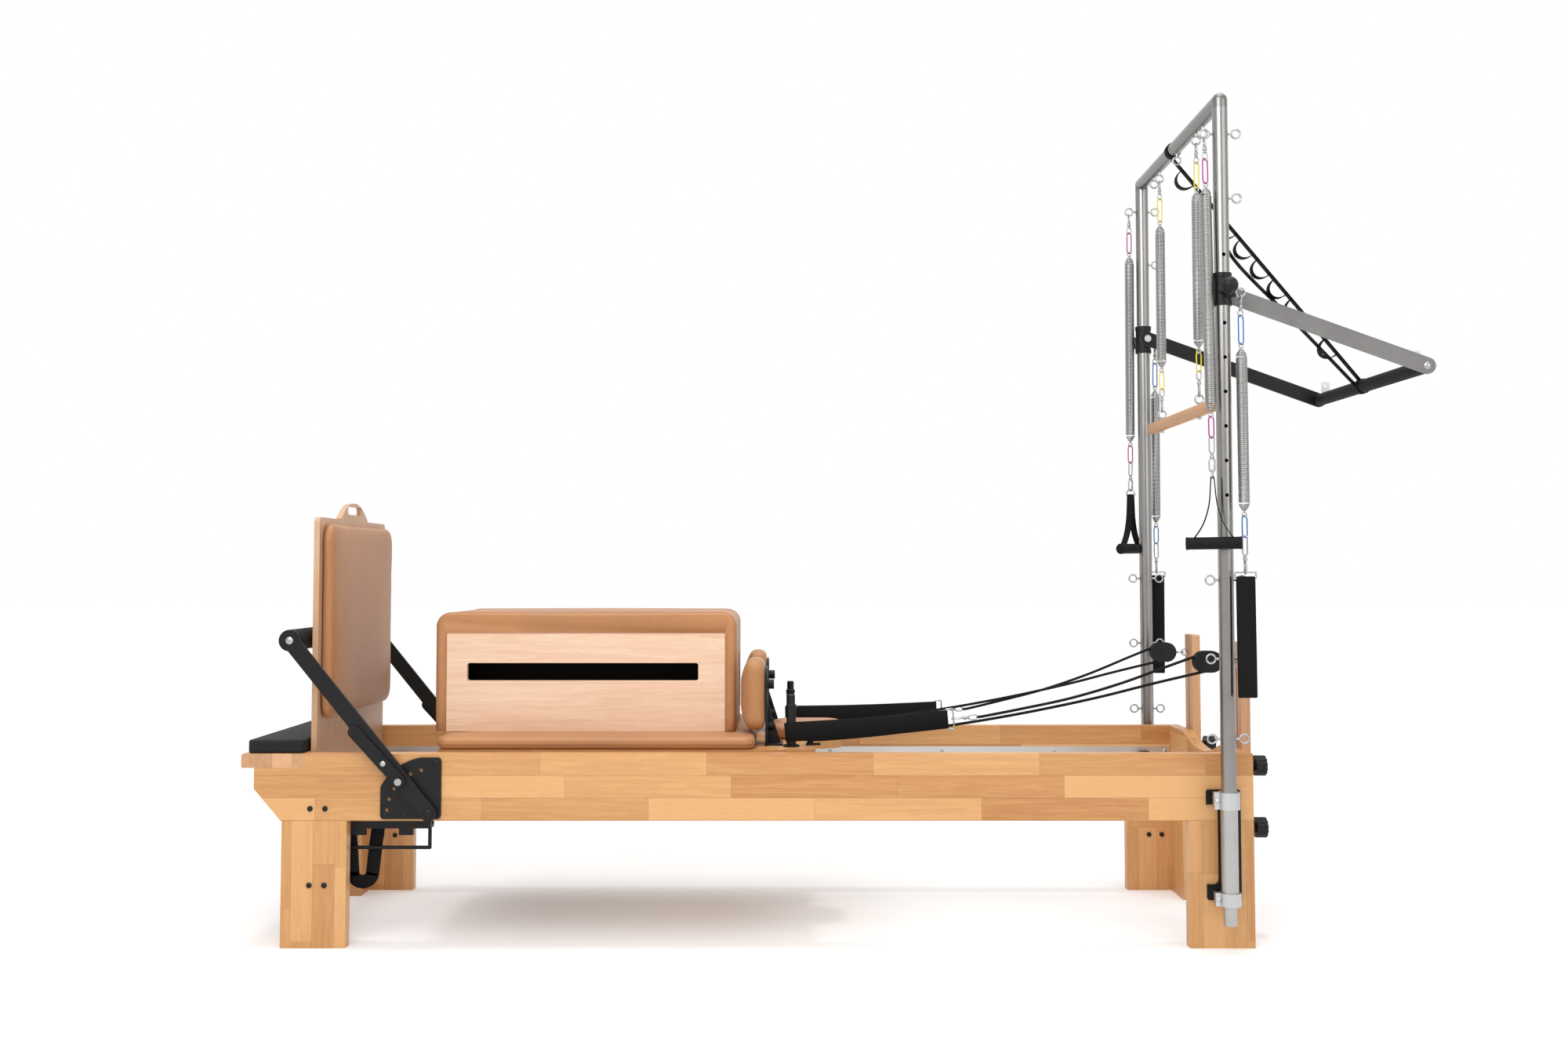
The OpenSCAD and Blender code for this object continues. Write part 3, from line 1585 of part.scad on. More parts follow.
module leg_strap(side) {
  web_r = link_wire / 2 + seat_gap;
  drop = leg_strap_l - 2 * (web_r + web_t);
  leg_set(side)
    translate([0, 0, leg_ring_z]) {
      color(steel)
        translate([0, 0, leg_ring_l - link_wire / 2])
          square_ring(leg_strap_w + 10, leg_ring_l, link_wire);
      color(black) {
        web_arc(leg_strap_w, web_r);
        translate([0, 0, -drop]) mirror([0, 0, 1]) web_arc(leg_strap_w, web_r);
        for (y = [web_r, -web_r - web_t])
          translate([-leg_strap_w / 2, y, -drop]) cube([leg_strap_w, web_t, drop]);
      }
    }
}

module leg_strap_near() {
  leg_strap(near);
}

module leg_strap_far() {
  leg_strap(far);
}

// Roll-down bar and its two springs under the crossbar
bar_hook_l = 56;
bar_spring_z = -124;
bar_axis_z = -684;
bar_hook_end = bar_axis_z + roll_bar_d / 2 + eye_d - eye_wire - hook_wire - seat_gap;
module bar_springs() {
  color(steel)
    for (y = bar_ys)
      translate([tower_x, y, bar_eye_z + wire_top])
        spring_set(bar_hook_l, bar_spring_z, bar_spring_l, bar_hook_end, 90);
}

module roll_down_bar() {
  stem = eye_wire + 1.6;
  color(wood)
    translate([tower_x, 0, bar_eye_z + wire_top + bar_axis_z])
      difference() {
        union() {
          bar_y(roll_bar_d, -roll_bar_l / 2 + 4, roll_bar_l / 2 - 4);
          bar_y(roll_bar_d - 6, -roll_bar_l / 2, roll_bar_l / 2);
        }
        for (y = bar_ys)
          translate([0, y, -roll_bar_d]) cylinder(d = stem + 2 * fit_gap, h = 2 * roll_bar_d);
      }
  color(steel)
    for (y = bar_ys)
      translate([tower_x, y, bar_eye_z + wire_top + bar_axis_z]) {
        translate([0, 0, -roll_bar_d / 2 - 4]) cylinder(d = stem, h = roll_bar_d + 5.5);
        translate([0, 0, roll_bar_d / 2 + eye_d / 2]) ring_y(eye_r, eye_wire);
        translate([0, 0, -roll_bar_d / 2 - 6]) cylinder(d = 11, h = 5.8);
      }
}

centred() side_rails();
centred() end_boards();
centred() legs();
centred() foot_platform();
centred() platform_pad();
centred() slide_tracks();
centred() frame_bolts();
centred() spring_bar();
centred() storage_loop();
centred() footbar_plates();
centred() tower_posts();
centred() tower_crossbar();
centred() tower_brackets();
centred() tower_clamps();
centred() tower_eyebolts();
centred() safety_strap();
centred() ropes();
centred() footbar_arms();
centred() footbar_grip();
centred() lock_pin_near();
centred() lock_pin_far();
centred() jump_board();
centred() jump_board_pad();
centred() carriage_deck();
centred() foot_wheels();
centred() head_wheels();
centred() carriage_mat();
centred() headrest();
centred() shoulder_pads();
centred() shoulder_brackets();
centred() strap_pegs();
centred() foot_straps();
centred() carriage_springs();
centred() box_panels();
centred() box_cover();
centred() slider_collars();
centred() pop_pin_near();
centred() pop_pin_far();
centred() push_arms();
centred() push_grip();
centred() riser_near();
centred() riser_far();
centred() knob_near_upper();
centred() knob_near_lower();
centred() knob_far_upper();
centred() knob_far_lower();
centred() pulley_near();
centred() pulley_far();
centred() pulley_wheel_near();
centred() pulley_wheel_far();
centred() handle_spring_near();
centred() handle_spring_far();
centred() hand_loop_near();
centred() hand_loop_far();
centred() leg_spring_near();
centred() leg_spring_far();
centred() leg_strap_near();
centred() leg_strap_far();
centred() bar_springs();
centred() roll_down_bar();
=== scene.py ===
"""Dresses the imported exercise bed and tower: soft goods, wound springs, cords, materials and studio."""

import logging
import math
from dataclasses import dataclass
from enum import Enum
from typing import Callable, Sequence

import bpy
import numpy as np
from mathutils import Matrix, Vector

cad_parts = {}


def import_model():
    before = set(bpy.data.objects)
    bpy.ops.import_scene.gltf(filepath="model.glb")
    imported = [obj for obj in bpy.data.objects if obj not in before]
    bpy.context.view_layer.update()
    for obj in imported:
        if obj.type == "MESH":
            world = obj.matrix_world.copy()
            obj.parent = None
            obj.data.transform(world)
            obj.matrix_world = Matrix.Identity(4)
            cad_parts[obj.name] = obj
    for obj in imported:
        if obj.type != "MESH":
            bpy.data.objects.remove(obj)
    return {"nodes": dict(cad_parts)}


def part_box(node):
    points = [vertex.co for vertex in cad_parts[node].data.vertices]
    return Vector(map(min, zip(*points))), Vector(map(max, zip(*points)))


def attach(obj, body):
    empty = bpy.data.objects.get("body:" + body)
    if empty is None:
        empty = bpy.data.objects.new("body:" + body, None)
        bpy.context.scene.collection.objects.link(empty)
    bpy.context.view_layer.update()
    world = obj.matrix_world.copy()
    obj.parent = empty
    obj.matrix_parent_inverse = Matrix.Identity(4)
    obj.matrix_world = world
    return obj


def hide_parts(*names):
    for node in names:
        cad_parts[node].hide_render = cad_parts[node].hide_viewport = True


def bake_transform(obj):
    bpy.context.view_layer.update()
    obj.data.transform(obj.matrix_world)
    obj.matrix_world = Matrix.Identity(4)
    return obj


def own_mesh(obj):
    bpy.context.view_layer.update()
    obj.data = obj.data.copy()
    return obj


LOG = logging.getLogger("scene")
SEED = 7195

Points = np.ndarray
Point = tuple[float, float, float]
Color = tuple[float, float, float]


class Axis(Enum):
    """The row frame's axes, as indexes of a coordinate."""

    X = 0
    Y = 1
    Z = 2


@dataclass(frozen=True)
class Plan:
    """The part's driving sizes in metres, the same as its CAD source has in millimetres."""

    push_x: float = 2.331
    push_z: float = 1.576
    push_arm: float = 0.528
    push_angle: float = math.radians(19.9)
    tip_out: float = 0.02
    platform_out: float = 0.0314
    tower_x: float = 2.326
    tower_y: float = 0.396
    crossbar_z: float = 2.037
    eye_out: float = 0.038
    peg: Point = (1.291, 0.23, 0.502)
    wire_top: float = 0.0023 - 0.0107
    gap: float = 0.0002

    @property
    def push_hold(self) -> tuple[float, float]:
        """X and Z of the push bar's grip, with X counted from the rails' foot end."""
        x = self.push_x + self.push_arm * math.cos(self.push_angle)
        return x, self.push_z - self.push_arm * math.sin(self.push_angle)

    @property
    def middle(self) -> float:
        """X of the row frame's origin, counted from the rails' foot end."""
        return (self.push_hold[0] + self.tip_out - self.platform_out) / 2

    def at(self, x: float, y: float, z: float) -> Vector:
        """Row frame point of a place counted from the rails' foot end."""
        return Vector((x - self.middle, y, z))


PLAN = Plan()


# Shader maths


Value = "Field | float"


class Field:
    """A shader value or colour whose Python operators grow the node tree."""

    def __init__(self, tree: bpy.types.NodeTree, socket: bpy.types.NodeSocket) -> None:
        """Keeps the tree and the socket that carries the value."""
        self.tree = tree
        self.socket = socket

    def join(self, operation: str, *operands: Value) -> "Field":
        """Adds one Math node.

        Args:
            operation: Math node operation.
            operands: Fields or numbers, in the node's order.

        Returns:
            The node's value.
        """
        node = grow(self.tree, "ShaderNodeMath", {"operation": operation}, dict(enumerate(operands)))
        return Field(self.tree, node.outputs[0])

    @staticmethod
    def maker(operation: str) -> Callable[..., "Field"]:
        """A method that puts its field into one Math node with what follows."""
        return lambda field, *others: field.join(operation, field, *others)

    @staticmethod
    def reflected(operation: str) -> Callable[["Field", Value], "Field"]:
        """A method that puts its field into one Math node behind the other operand."""
        return lambda field, other: field.join(operation, other, field)

    __add__ = __radd__ = maker("ADD")
    __sub__, __rsub__ = maker("SUBTRACT"), reflected("SUBTRACT")
    __mul__ = __rmul__ = maker("MULTIPLY")
    __truediv__, __rtruediv__ = maker("DIVIDE"), reflected("DIVIDE")
    __pow__, __rpow__ = maker("POWER"), reflected("POWER")
    __gt__ = maker("GREATER_THAN")
    __lt__ = maker("LESS_THAN")
    __or__ = __ror__ = maker("MAXIMUM")
    __abs__ = maker("ABSOLUTE")
    __floor__ = maker("FLOOR")
    fract = maker("FRACT")
    sine = maker("SINE")


def plug(tree: bpy.types.NodeTree, node: bpy.types.Node, sockets: dict) -> None:
    """Links or sets a node's sockets.

    Args:
        tree: The node's tree.
        node: The node.
        sockets: Values or fields by socket name or index.
    """
    for key, value in sockets.items():
        slot = node.inputs[key]
        if isinstance(value, Field):
            tree.links.new(value.socket, slot)
        else:
            slot.default_value = (*value, 1) if slot.type == "RGBA" else value


def grow(
    tree: bpy.types.NodeTree, kind: str, settings: dict | None = None, sockets: dict | None = None
) -> bpy.types.Node:
    """Adds any node to a tree.

    Args:
        tree: Tree of a material, world or node group.
        kind: Node type.
        settings: Properties to set first; stops is a ramp's list of places and colours.
        sockets: Values or fields by socket name or index.

    Returns:
        The node.
    """
    made = tree.nodes.new(kind)
    for key, value in (settings or {}).items():
        if key != "stops":
            setattr(made, key, value)
            continue
        while len(made.color_ramp.elements) < len(value):
            made.color_ramp.elements.new(0.5)
        for element, (place, color) in zip(made.color_ramp.elements, value):
            element.position = place
            element.color = (*color, 1)
    plug(tree, made, sockets or {})
    return made


def srgb(red: int, green: int, blue: int) -> Color:
    """Linear colour of an 8-bit sRGB one.

    Args:
        red: Red, 0 to 255.
        green: Green, 0 to 255.
        blue: Blue, 0 to 255.

    Returns:
        The linear colour.
    """
    return tuple(
        v / 12.92 if v <= 0.04045 else ((v + 0.055) / 1.055) ** 2.4
        for v in (red / 255, green / 255, blue / 255)
    )


def shade(color: Color, share: float) -> Color:
    """A colour made darker or lighter by a share."""
    return tuple(min(1.0, c * share) for c in color)


class Pad:
    """One Principled shader under construction in a material's tree."""

    def __init__(self, owner: "str | bpy.types.Material") -> None:
        """Makes a material of that name, or adds a shader to one that exists.

        Args:
            owner: Name of a new material, or the material that exists.
        """
        if isinstance(owner, str):
            owner = bpy.data.materials.new(owner)
            owner.use_nodes = True
            owner.node_tree.nodes.remove(owner.node_tree.nodes["Principled BSDF"])
        self.material = owner
        self.tree = owner.node_tree
        self.shader = self.tree.nodes.new("ShaderNodeBsdfPrincipled")
        self.output = self.shader.outputs[0]
        self.normal: Field | None = None

    def node(self, kind: str, settings: dict | None = None, sockets: dict | None = None) -> bpy.types.Node:
        """Adds any node to the pad's tree."""
        return grow(self.tree, kind, settings, sockets)

    def out(self, node: bpy.types.Node, socket: "str | int" = 0) -> Field:
        """One output of a node as a field."""
        return Field(self.tree, node.outputs[socket])

    def axes(self, source: str = "Object") -> tuple[Field, Field, Field]:
        """Coordinates of the surface point.

        Args:
            source: Texture Coordinate output, Object or UV.

        Returns:
            The three components.
        """
        place = self.out(self.node("ShaderNodeTexCoord"), source)
        parts = self.node("ShaderNodeSeparateXYZ", None, {0: place})
        return tuple(self.out(parts, i) for i in range(3))

    def vector(self, x: Value, y: Value, z: Value) -> Field:
        """A vector of three values."""
        return self.out(self.node("ShaderNodeCombineXYZ", None, {0: x, 1: y, 2: z}))

    def noise(self, at: Field, scale: float, detail: float = 3, rough: float = 0.5) -> Field:
        """Noise texture's factor at a place."""
        sockets = {"Vector": at, "Scale": scale, "Detail": detail, "Roughness": rough}
        return self.out(self.node("ShaderNodeTexNoise", None, sockets))

    def cells(self, at: Field, scale: float) -> Field:
        """Distance to the edges of Voronoi cells."""
        settings = {"feature": "DISTANCE_TO_EDGE"}
        return self.out(self.node("ShaderNodeTexVoronoi", settings, {"Vector": at, "Scale": scale}))

    def white(self, at: Field) -> Field:
        """A random value for each different vector."""
        return self.out(self.node("ShaderNodeTexWhiteNoise", None, {"Vector": at}))

    def ramp(self, value: Field, stops: Sequence[tuple[float, Color]]) -> Field:
        """Colour of a value, between stops of places and colours."""
        return self.out(self.node("ShaderNodeValToRGB", {"stops": stops}, {0: value}))

    def mix(self, share: Field, first: Field, second: "Field | Color") -> Field:
        """Mixes two colours by a share."""
        made = self.node("ShaderNodeMix", {"data_type": "RGBA"}, {0: share, 6: first, 7: second})
        return self.out(made, 2)

    def feed(self, **sockets: "Field | float | Color") -> None:
        """Links or sets the shader's sockets, named with underscores for spaces."""
        plug(self.tree, self.shader, {name.replace("_", " "): v for name, v in sockets.items()})

    def bump(self, height: Field, depth: float, strength: float = 1.0) -> None:
        """Adds a bump of that depth in metres on top of the earlier ones.

        Args:
            height: Height of the surface, from 0 to 1.
            depth: Depth in metres.
            strength: Share of the bump that shows.
        """
        sockets = {"Strength": strength, "Distance": depth, "Height": height}
        if self.normal is not None:
            sockets["Normal"] = self.normal
        self.normal = self.out(self.node("ShaderNodeBump", None, sockets))
        self.feed(Normal=self.normal)

    def close(self) -> None:
        """Links the pad's output to the material's surface."""
        target = next(n for n in self.tree.nodes if n.type == "OUTPUT_MATERIAL")
        self.tree.links.new(self.output, target.inputs["Surface"])


@dataclass(frozen=True)
class Finish:
    """A named surface finish; each kind lays its own nodes."""

    name: str

    def lay(self, pad: Pad) -> None:
        """Lays the finish's nodes on a shader."""
        raise NotImplementedError

    def build(self) -> bpy.types.Material:
        """The finish's material, made the first time it is asked for.

        Returns:
            The material, named look_ and the finish's name.
        """
        name = f"look_{self.name}"
        known = bpy.data.materials.get(name)
        if known is not None:
            return known
        pad = Pad(name)
        self.lay(pad)
        pad.close()
        return pad.material


@dataclass(frozen=True)
class Wood(Finish):
    """Glued oak staves, or one veneer sheet where the staves are wide."""

    light: Color
    dark: Color
    along: Axis = Axis.X
    stack: Axis = Axis.Z
    stave: float = 0.042
    run: float = 0.62
    contrast: float = 0.5

    def lay(self, pad: Pad) -> None:
        """Lays staves, their grain, pores and glue lines.

        Args:
            pad: Shader that takes them.
        """
        axes = pad.axes()
        u, w = axes[self.along.value], axes[self.stack.value]
        v = axes[3 - self.along.value - self.stack.value]
        course = w / self.stave + 0.31
        row = math.floor(course)
        length = u / self.run + pad.white(pad.vector(row, 3.1, 0.7)) * 3.0
        tone = pad.white(pad.vector(row, math.floor(length), 1.9))
        slide = tone * 7.0
        grain = pad.noise(pad.vector(u * 1.6 + slide, v * 22.0, w * 26.0 + slide), 1.0, 5, 0.6)
        figure = pad.noise(pad.vector(u * 3.0 + slide, v * 60.0, w * 75.0), 1.0, 3, 0.55)
        rings = ((grain * 46.0 + w * 160.0).sine() * 0.5 + 0.5) ** 2.0
        pores = pad.noise(pad.vector(u * 34.0, v * 900.0, w * 900.0), 1.0, 2, 0.6)
        mixed = tone * self.contrast + grain * 0.36 + rings * 0.12 + figure * 0.32
        middle = tuple((a + b) / 2 for a, b in zip(self.light, self.dark))
        color = pad.ramp(mixed, [(0.22, self.dark), (0.52, middle), (0.92, self.light)])
        color = pad.mix((pores > 0.62) * 0.16, color, shade(self.dark, 0.45))
        glue = (abs(course.fract() - 0.5) > 0.488) | (abs(length.fract() - 0.5) > 0.4985)
        color = pad.mix(glue * 0.32, color, shade(self.dark, 0.4))
        pad.feed(Base_Color=color, Roughness=grain * 0.2 + 0.36, Coat_Weight=0.12)
        pad.feed(Coat_Roughness=0.3)
        pad.bump(rings * 0.35 - pores, 0.00012, 0.5)


@dataclass(frozen=True)
class Vinyl(Finish):
    """Grained upholstery vinyl over foam."""

    color: Color
    grain: float = 620.0
    gloss: float = 0.42

    def lay(self, pad: Pad) -> None:
        """Lays the pebbled grain and soft waves of the cover.

        Args:
            pad: Shader that takes them.
        """
        at = pad.vector(*pad.axes())
        cloud = pad.noise(at, 5.0, 3, 0.5)
        fine = pad.noise(at, 160.0, 2, 0.5)
        cells = pad.cells(at, self.grain)
        low = shade(self.color, 0.84)
        tint = pad.ramp(cloud * 0.7 + fine * 0.3, [(0.3, low), (0.7, shade(self.color, 1.1))])
        tint = pad.mix((cells < 0.05) * 0.12, tint, low)
        pad.feed(Base_Color=tint, Roughness=cloud * 0.12 + self.gloss, Sheen_Weight=0.08)
        pad.bump(cells, 0.00022, 0.55)
        pad.bump(cloud, 0.0016, 0.35)


@dataclass(frozen=True)
class Coat(Finish):
    """Powder coat, moulded plastic, rubber or foam: one colour with its own fine surface."""

    color: Color
    gloss: float = 0.45
    grain: float = 900.0
    depth: float = 0.00006
    wear: float = 0.06
    shine: float = 0.5

    def lay(self, pad: Pad) -> None:
        """Lays a mottled colour and a fine texture.

        Args:
            pad: Shader that takes them.
        """
        at = pad.vector(*pad.axes())
        cloud = pad.noise(at, 9.0, 4, 0.6)
        fine = pad.noise(at, self.grain, 2, 0.6)
        low = shade(self.color, 1 - self.wear * 3)
        high = tuple(min(1.0, c * (1 + self.wear * 4) + self.wear * 0.02) for c in self.color)
        pad.feed(Base_Color=pad.ramp(cloud, [(0.3, low), (0.72, high)]))
        pad.feed(Roughness=cloud * 0.16 + fine * 0.06 + (self.gloss - 0.1), Specular_IOR_Level=self.shine)
        pad.bump(fine, self.depth, 0.6)


@dataclass(frozen=True)
class Metal(Finish):
    """Brushed or polished metal, with its brushing along one axis."""

    color: Color
    gloss: float = 0.26
    along: Axis = Axis.Z
    brush: float = 0.14

    def lay(self, pad: Pad) -> None:
        """Lays fine streaks along the brushing.

        Args:
            pad: Shader that takes them.
        """
        axes = list(pad.axes())
        scaled = [a * (6.0 if i == self.along.value else 1400.0) for i, a in enumerate(axes)]
        streak = pad.noise(pad.vector(*scaled), 1.0, 3, 0.6)
        cloud = pad.noise(pad.vector(*axes), 14.0, 3, 0.6)
        tint = pad.ramp(streak * 0.5 + cloud * 0.5, [(0.25, shade(self.color, 0.82)), (0.75, self.color)])
        pad.feed(Base_Color=tint, Metallic=1.0)
        pad.feed(Roughness=streak * self.brush + cloud * 0.08 + (self.gloss - 0.08))
        pad.bump(streak, 0.00002, 0.4)


@dataclass(frozen=True)
class Webbing(Finish):
    """Woven strap, read along its own UV in metres: U along the strap and V across it."""

    color: Color
    pitch: float = 0.0016

    def lay(self, pad: Pad) -> None:
        """Lays a twill of ribs with fuzz.

        Args:
            pad: Shader that takes them.
        """
        u, v, _ = pad.axes("UV")
        side = abs((v * (0.5 / self.pitch)).fract() - 0.5) * 2.0
        rib = ((u + side * self.pitch * 1.3) * (math.tau / self.pitch)).sine() * 0.5 + 0.5
        warp = (v * (math.tau / (self.pitch * 0.7))).sine() * 0.5 + 0.5
        fuzz = pad.noise(pad.vector(u * 1500.0, v * 1500.0, 0.0), 1.0, 2, 0.6)
        weave = rib * 0.65 + warp * 0.35
        high = tuple(c * 1.9 + 0.004 for c in self.color)
        tint = pad.ramp(weave * 0.7 + fuzz * 0.3, [(0.2, shade(self.color, 0.55)), (0.85, high)])
        pad.feed(Base_Color=tint, Roughness=fuzz * 0.15 + 0.66, Specular_IOR_Level=0.16)
        pad.bump(weave + fuzz * 0.3, 0.00035, 0.8)


@dataclass(frozen=True)
class Split(Finish):
    """Two finishes on one node, parted by a mask on its place."""

    first: Finish
    second: Finish
    mask: Callable[[Field, Field, Field], Field]

    def lay(self, pad: Pad) -> None:
        """Lays both finishes and mixes them by the mask, the second where it is one.

        Args:
            pad: Shader that takes them.
        """
        self.first.lay(pad)
        other = Pad(pad.material)
        self.second.lay(other)
        share = self.mask(*pad.axes())
        sockets = {0: share, 1: Field(pad.tree, pad.output), 2: Field(pad.tree, other.output)}
        pad.output = pad.node("ShaderNodeMixShader", None, sockets).outputs[0]


# Meshes


def added(name: str, data: bpy.types.ID) -> bpy.types.Object:
    """A new object in the scene."""
    obj = bpy.data.objects.new(name, data)
    bpy.context.scene.collection.objects.link(obj)
    return obj


def evaluated(obj: bpy.types.Object) -> bpy.types.Mesh:
    """A new mesh of the object with its modifiers applied."""
    bpy.context.view_layer.update()
    graph = bpy.context.evaluated_depsgraph_get()
    return bpy.data.meshes.new_from_object(obj.evaluated_get(graph))


def unit(vector: Points) -> Points:
    """A vector of length one."""
    return vector / max(float(np.linalg.norm(vector)), 1e-12)


def smooth_path(points: Sequence[Sequence[float]], steps: int) -> Points:
    """Catmull-Rom curve through points.

    Args:
        points: Places the curve passes.
        steps: Segments between two of them.

    Returns:
        The finer points.
    """
    p = np.array([list(x) for x in points], float)
    p = np.vstack([2 * p[0] - p[1], p, 2 * p[-1] - p[-2]])
    a, b, c, d = (p[i : len(p) - 3 + i, None] for i in range(4))
    t = (np.arange(steps) / steps)[None, :, None]
    cubic = 2 * b + (c - a) * t + (2 * a - 5 * b + 4 * c - d) * t * t + (3 * b - a - 3 * c + d) * t**3
    return np.vstack([cubic.reshape(-1, p.shape[1]) / 2, p[-2]])


def arc(
    middle: tuple[float, float], radius: float, start: float, end: float, count: int
) -> list[tuple[float, float]]:
    """Points of a circle's arc between two angles in degrees."""
    turn = np.radians(np.linspace(start, end, count))
    return [(middle[0] + radius * math.cos(a), middle[1] + radius * math.sin(a)) for a in turn]


def oblong(corners: Sequence[tuple[float, float]], share: float) -> Points:
    """Path round an oblong wire ring in the XZ plane.

    Args:
        corners: Its corners in order.
        share: Part of each side that a corner takes up.

    Returns:
        Three points of each side.
    """
    path = []
    for (x, z), (next_x, next_z) in zip(corners, corners[1:] + corners[:1]):
        path += [(x + (next_x - x) * t, 0, z + (next_z - z) * t) for t in (share, 0.5, 1 - share)]
    return np.array(path)


def headings(path: Points, closed: bool) -> Points:
    """Unit directions along a path.

    Args:
        path: Points of the path.
        closed: Whether the path is a loop.

    Returns:
        One direction for each point.
    """
    after = np.roll(path, -1, 0) if closed else np.vstack([path[1:], 2 * path[-1] - path[-2]])
    before = np.roll(path, 1, 0) if closed else np.vstack([2 * path[0] - path[1], path[:-1]])
    ahead = after - before
    return ahead / np.linalg.norm(ahead, axis=1)[:, None]


def sweep_uv(path: Points, across: Points, closed: bool) -> Points:
    """UV of a swept grid in metres: along the path, and across it.

    Args:
        path: Points of the path.
        across: Places round the profile.
        closed: Whether the path is a loop.

    Returns:
        Both coordinates for each row and ring point.
    """
    lengths = np.concatenate([[0], np.cumsum(np.linalg.norm(np.diff(path, axis=0), axis=1))])
    if closed:
        lengths = np.append(lengths, lengths[-1] + np.linalg.norm(path[0] - path[-1]))
    return np.stack(np.meshgrid(lengths, across, indexing="ij"), -1)


class Shape:
    """Vertices, faces and UVs gathered from many small forms into one mesh."""

    def __init__(self) -> None:
        """Starts empty."""
        self.verts: list[Points] = []
        self.faces: list[tuple[int, ...]] = []
        self.uvs: list[tuple[float, float]] = []
        self.marks: list[int] = []
        self.count = 0
        self.mark = 0

    def grid(self, rows: Points, closed: bool = False, uv: Points | None = None) -> None:
        """Adds rings of points as quads, capped at both ends where the rows are open.

        Args:
            rows: Array of rows, ring points and coordinates.
            closed: Whether the rows close on themselves.
            uv: Place on the strap of each point, with the first ring point again at the end.
        """
        n, m, _ = rows.shape
        base = self.count
        self.verts.append(rows.reshape(-1, 3))
        self.count += n * m
        for i in range(n if closed else n - 1):
            for k in range(m):
                ends = ((i, k), (i, k + 1), (i + 1, k + 1), (i + 1, k))
                self.faces.append(tuple(base + r % n * m + c % m for r, c in ends))
                self.uvs.extend((0.0, 0.0) if uv is None else tuple(uv[r, c]) for r, c in ends)
        if not closed:
            for ring, turn in ((0, -1), (n - 1, 1)):
                self.faces.append(tuple(base + ring * m + k for k in range(m))[::turn])
                self.uvs.extend([(0.0, 0.0)] * m)
        self.marks.extend([self.mark] * (len(self.faces) - len(self.marks)))

    def tube(
        self, path: Points, radius: float | Points, sides: int = 8, closed: bool = False
    ) -> None:
        """Adds a round tube along a path, with frames carried along it.

        Args:
            path: Points of the centre line.
            radius: One radius, or one for each point.
            sides: Points of each ring.
            closed: Whether the path is a loop.
        """
        path = np.asarray(path, float)
        n = len(path)
        tangents = headings(path, closed)
        helper = np.array([0, 0, 1.0]) if abs(tangents[0][2]) < 0.9 else np.array([1.0, 0, 0])
        side = unit(np.cross(tangents[0], helper))
        sides_at = []
        for t in tangents:
            side = unit(side - t * float(side @ t))
            sides_at.append(side)
        s = np.array(sides_at)
        if closed:
            end = unit(s[-1] - tangents[0] * float(s[-1] @ tangents[0]))
            twist = math.atan2(float(np.cross(s[0], end) @ tangents[0]), float(s[0] @ end))
            angle = (-twist * np.arange(n) / n)[:, None]
            s = np.cos(angle) * s + np.sin(angle) * np.cross(tangents, s)
        up = np.cross(tangents, s)
        angles = np.arange(sides) * math.tau / sides
        r = np.broadcast_to(np.asarray(radius, float), (n,))
        ring = np.cos(angles)[None, :, None] * s[:, None] + np.sin(angles)[None, :, None] * up[:, None]
        rows = path[:, None] + ring * r[:, None, None]
        across = np.linspace(0, math.tau * float(r.mean()), sides + 1)
        self.grid(rows, closed, sweep_uv(path, across, closed))

    def band(
        self, path: Points, across: Points, width: float, thick: float, closed: bool = False
    ) -> None:
        """Adds a flat strap with rounded edges along a path.

        Args:
            path: Points of the strap's middle.
            across: Direction of the strap's width.
            width: Strap width.
            thick: Strap thickness.
            closed: Whether the path is a loop.
        """
        path = np.asarray(path, float)
        tangents = headings(path, closed)
        wide = unit(np.asarray(across, float))
        wides = wide[None] - tangents * (tangents @ wide)[:, None]
        wides /= np.linalg.norm(wides, axis=1)[:, None]
        normals = np.cross(tangents, wides)
        h, t = width / 2, thick / 2
        profile = [(-h, 0.0), (-h + t, -t), (0.0, -t), (h - t, -t)]
        profile += [(h, 0.0), (h - t, t), (0.0, t), (-h + t, t)]
        ring = np.array(profile)
        self.sweep(path, ring, wides, normals, closed)

    def sweep(self, path: Points, ring: Points, wides: Points, normals: Points, closed: bool) -> None:
        """Adds a flat profile swept along a path.

        Args:
            path: Points of the strap's middle.
            ring: The profile's points across and through the strap.
            wides: Direction across the strap at each point.
            normals: Direction through the strap, at each point or one for all.
            closed: Whether the path is a loop.
        """
        thick = np.broadcast_to(normals, wides.shape)
        rows = path[:, None] + ring[None, :, :1] * wides[:, None] + ring[None, :, 1:] * thick[:, None]
        across = np.append(ring[:, 0], ring[0, 0])
        self.grid(rows, closed, sweep_uv(path, across, closed))

    def lathe(self, profile: Sequence[tuple[float, float]], origin: Vector, axis: Axis) -> None:
        """Adds a turned form.

        Args:
            profile: Radii and heights from one end to the other.
            origin: Foot of the turning axis.
            axis: Direction of the turning axis.
        """
        sides = 48
        angles = np.arange(sides) * math.tau / sides
        a, b = (axis.value + 1) % 3, (axis.value + 2) % 3
        rows = np.zeros((len(profile), sides, 3))
        for i, (radius, height) in enumerate(profile):
            rows[i, :, axis.value] = height
            rows[i, :, a] = radius * np.cos(angles)
            rows[i, :, b] = radius * np.sin(angles)
        self.grid(rows + np.array(origin))

    def placed(self, matrix: Matrix) -> "Shape":
        """Moves everything added so far and returns the shape."""
        m = np.array(matrix)
        self.verts = [v @ m[:3, :3].T + m[:3, 3] for v in self.verts]
        return self

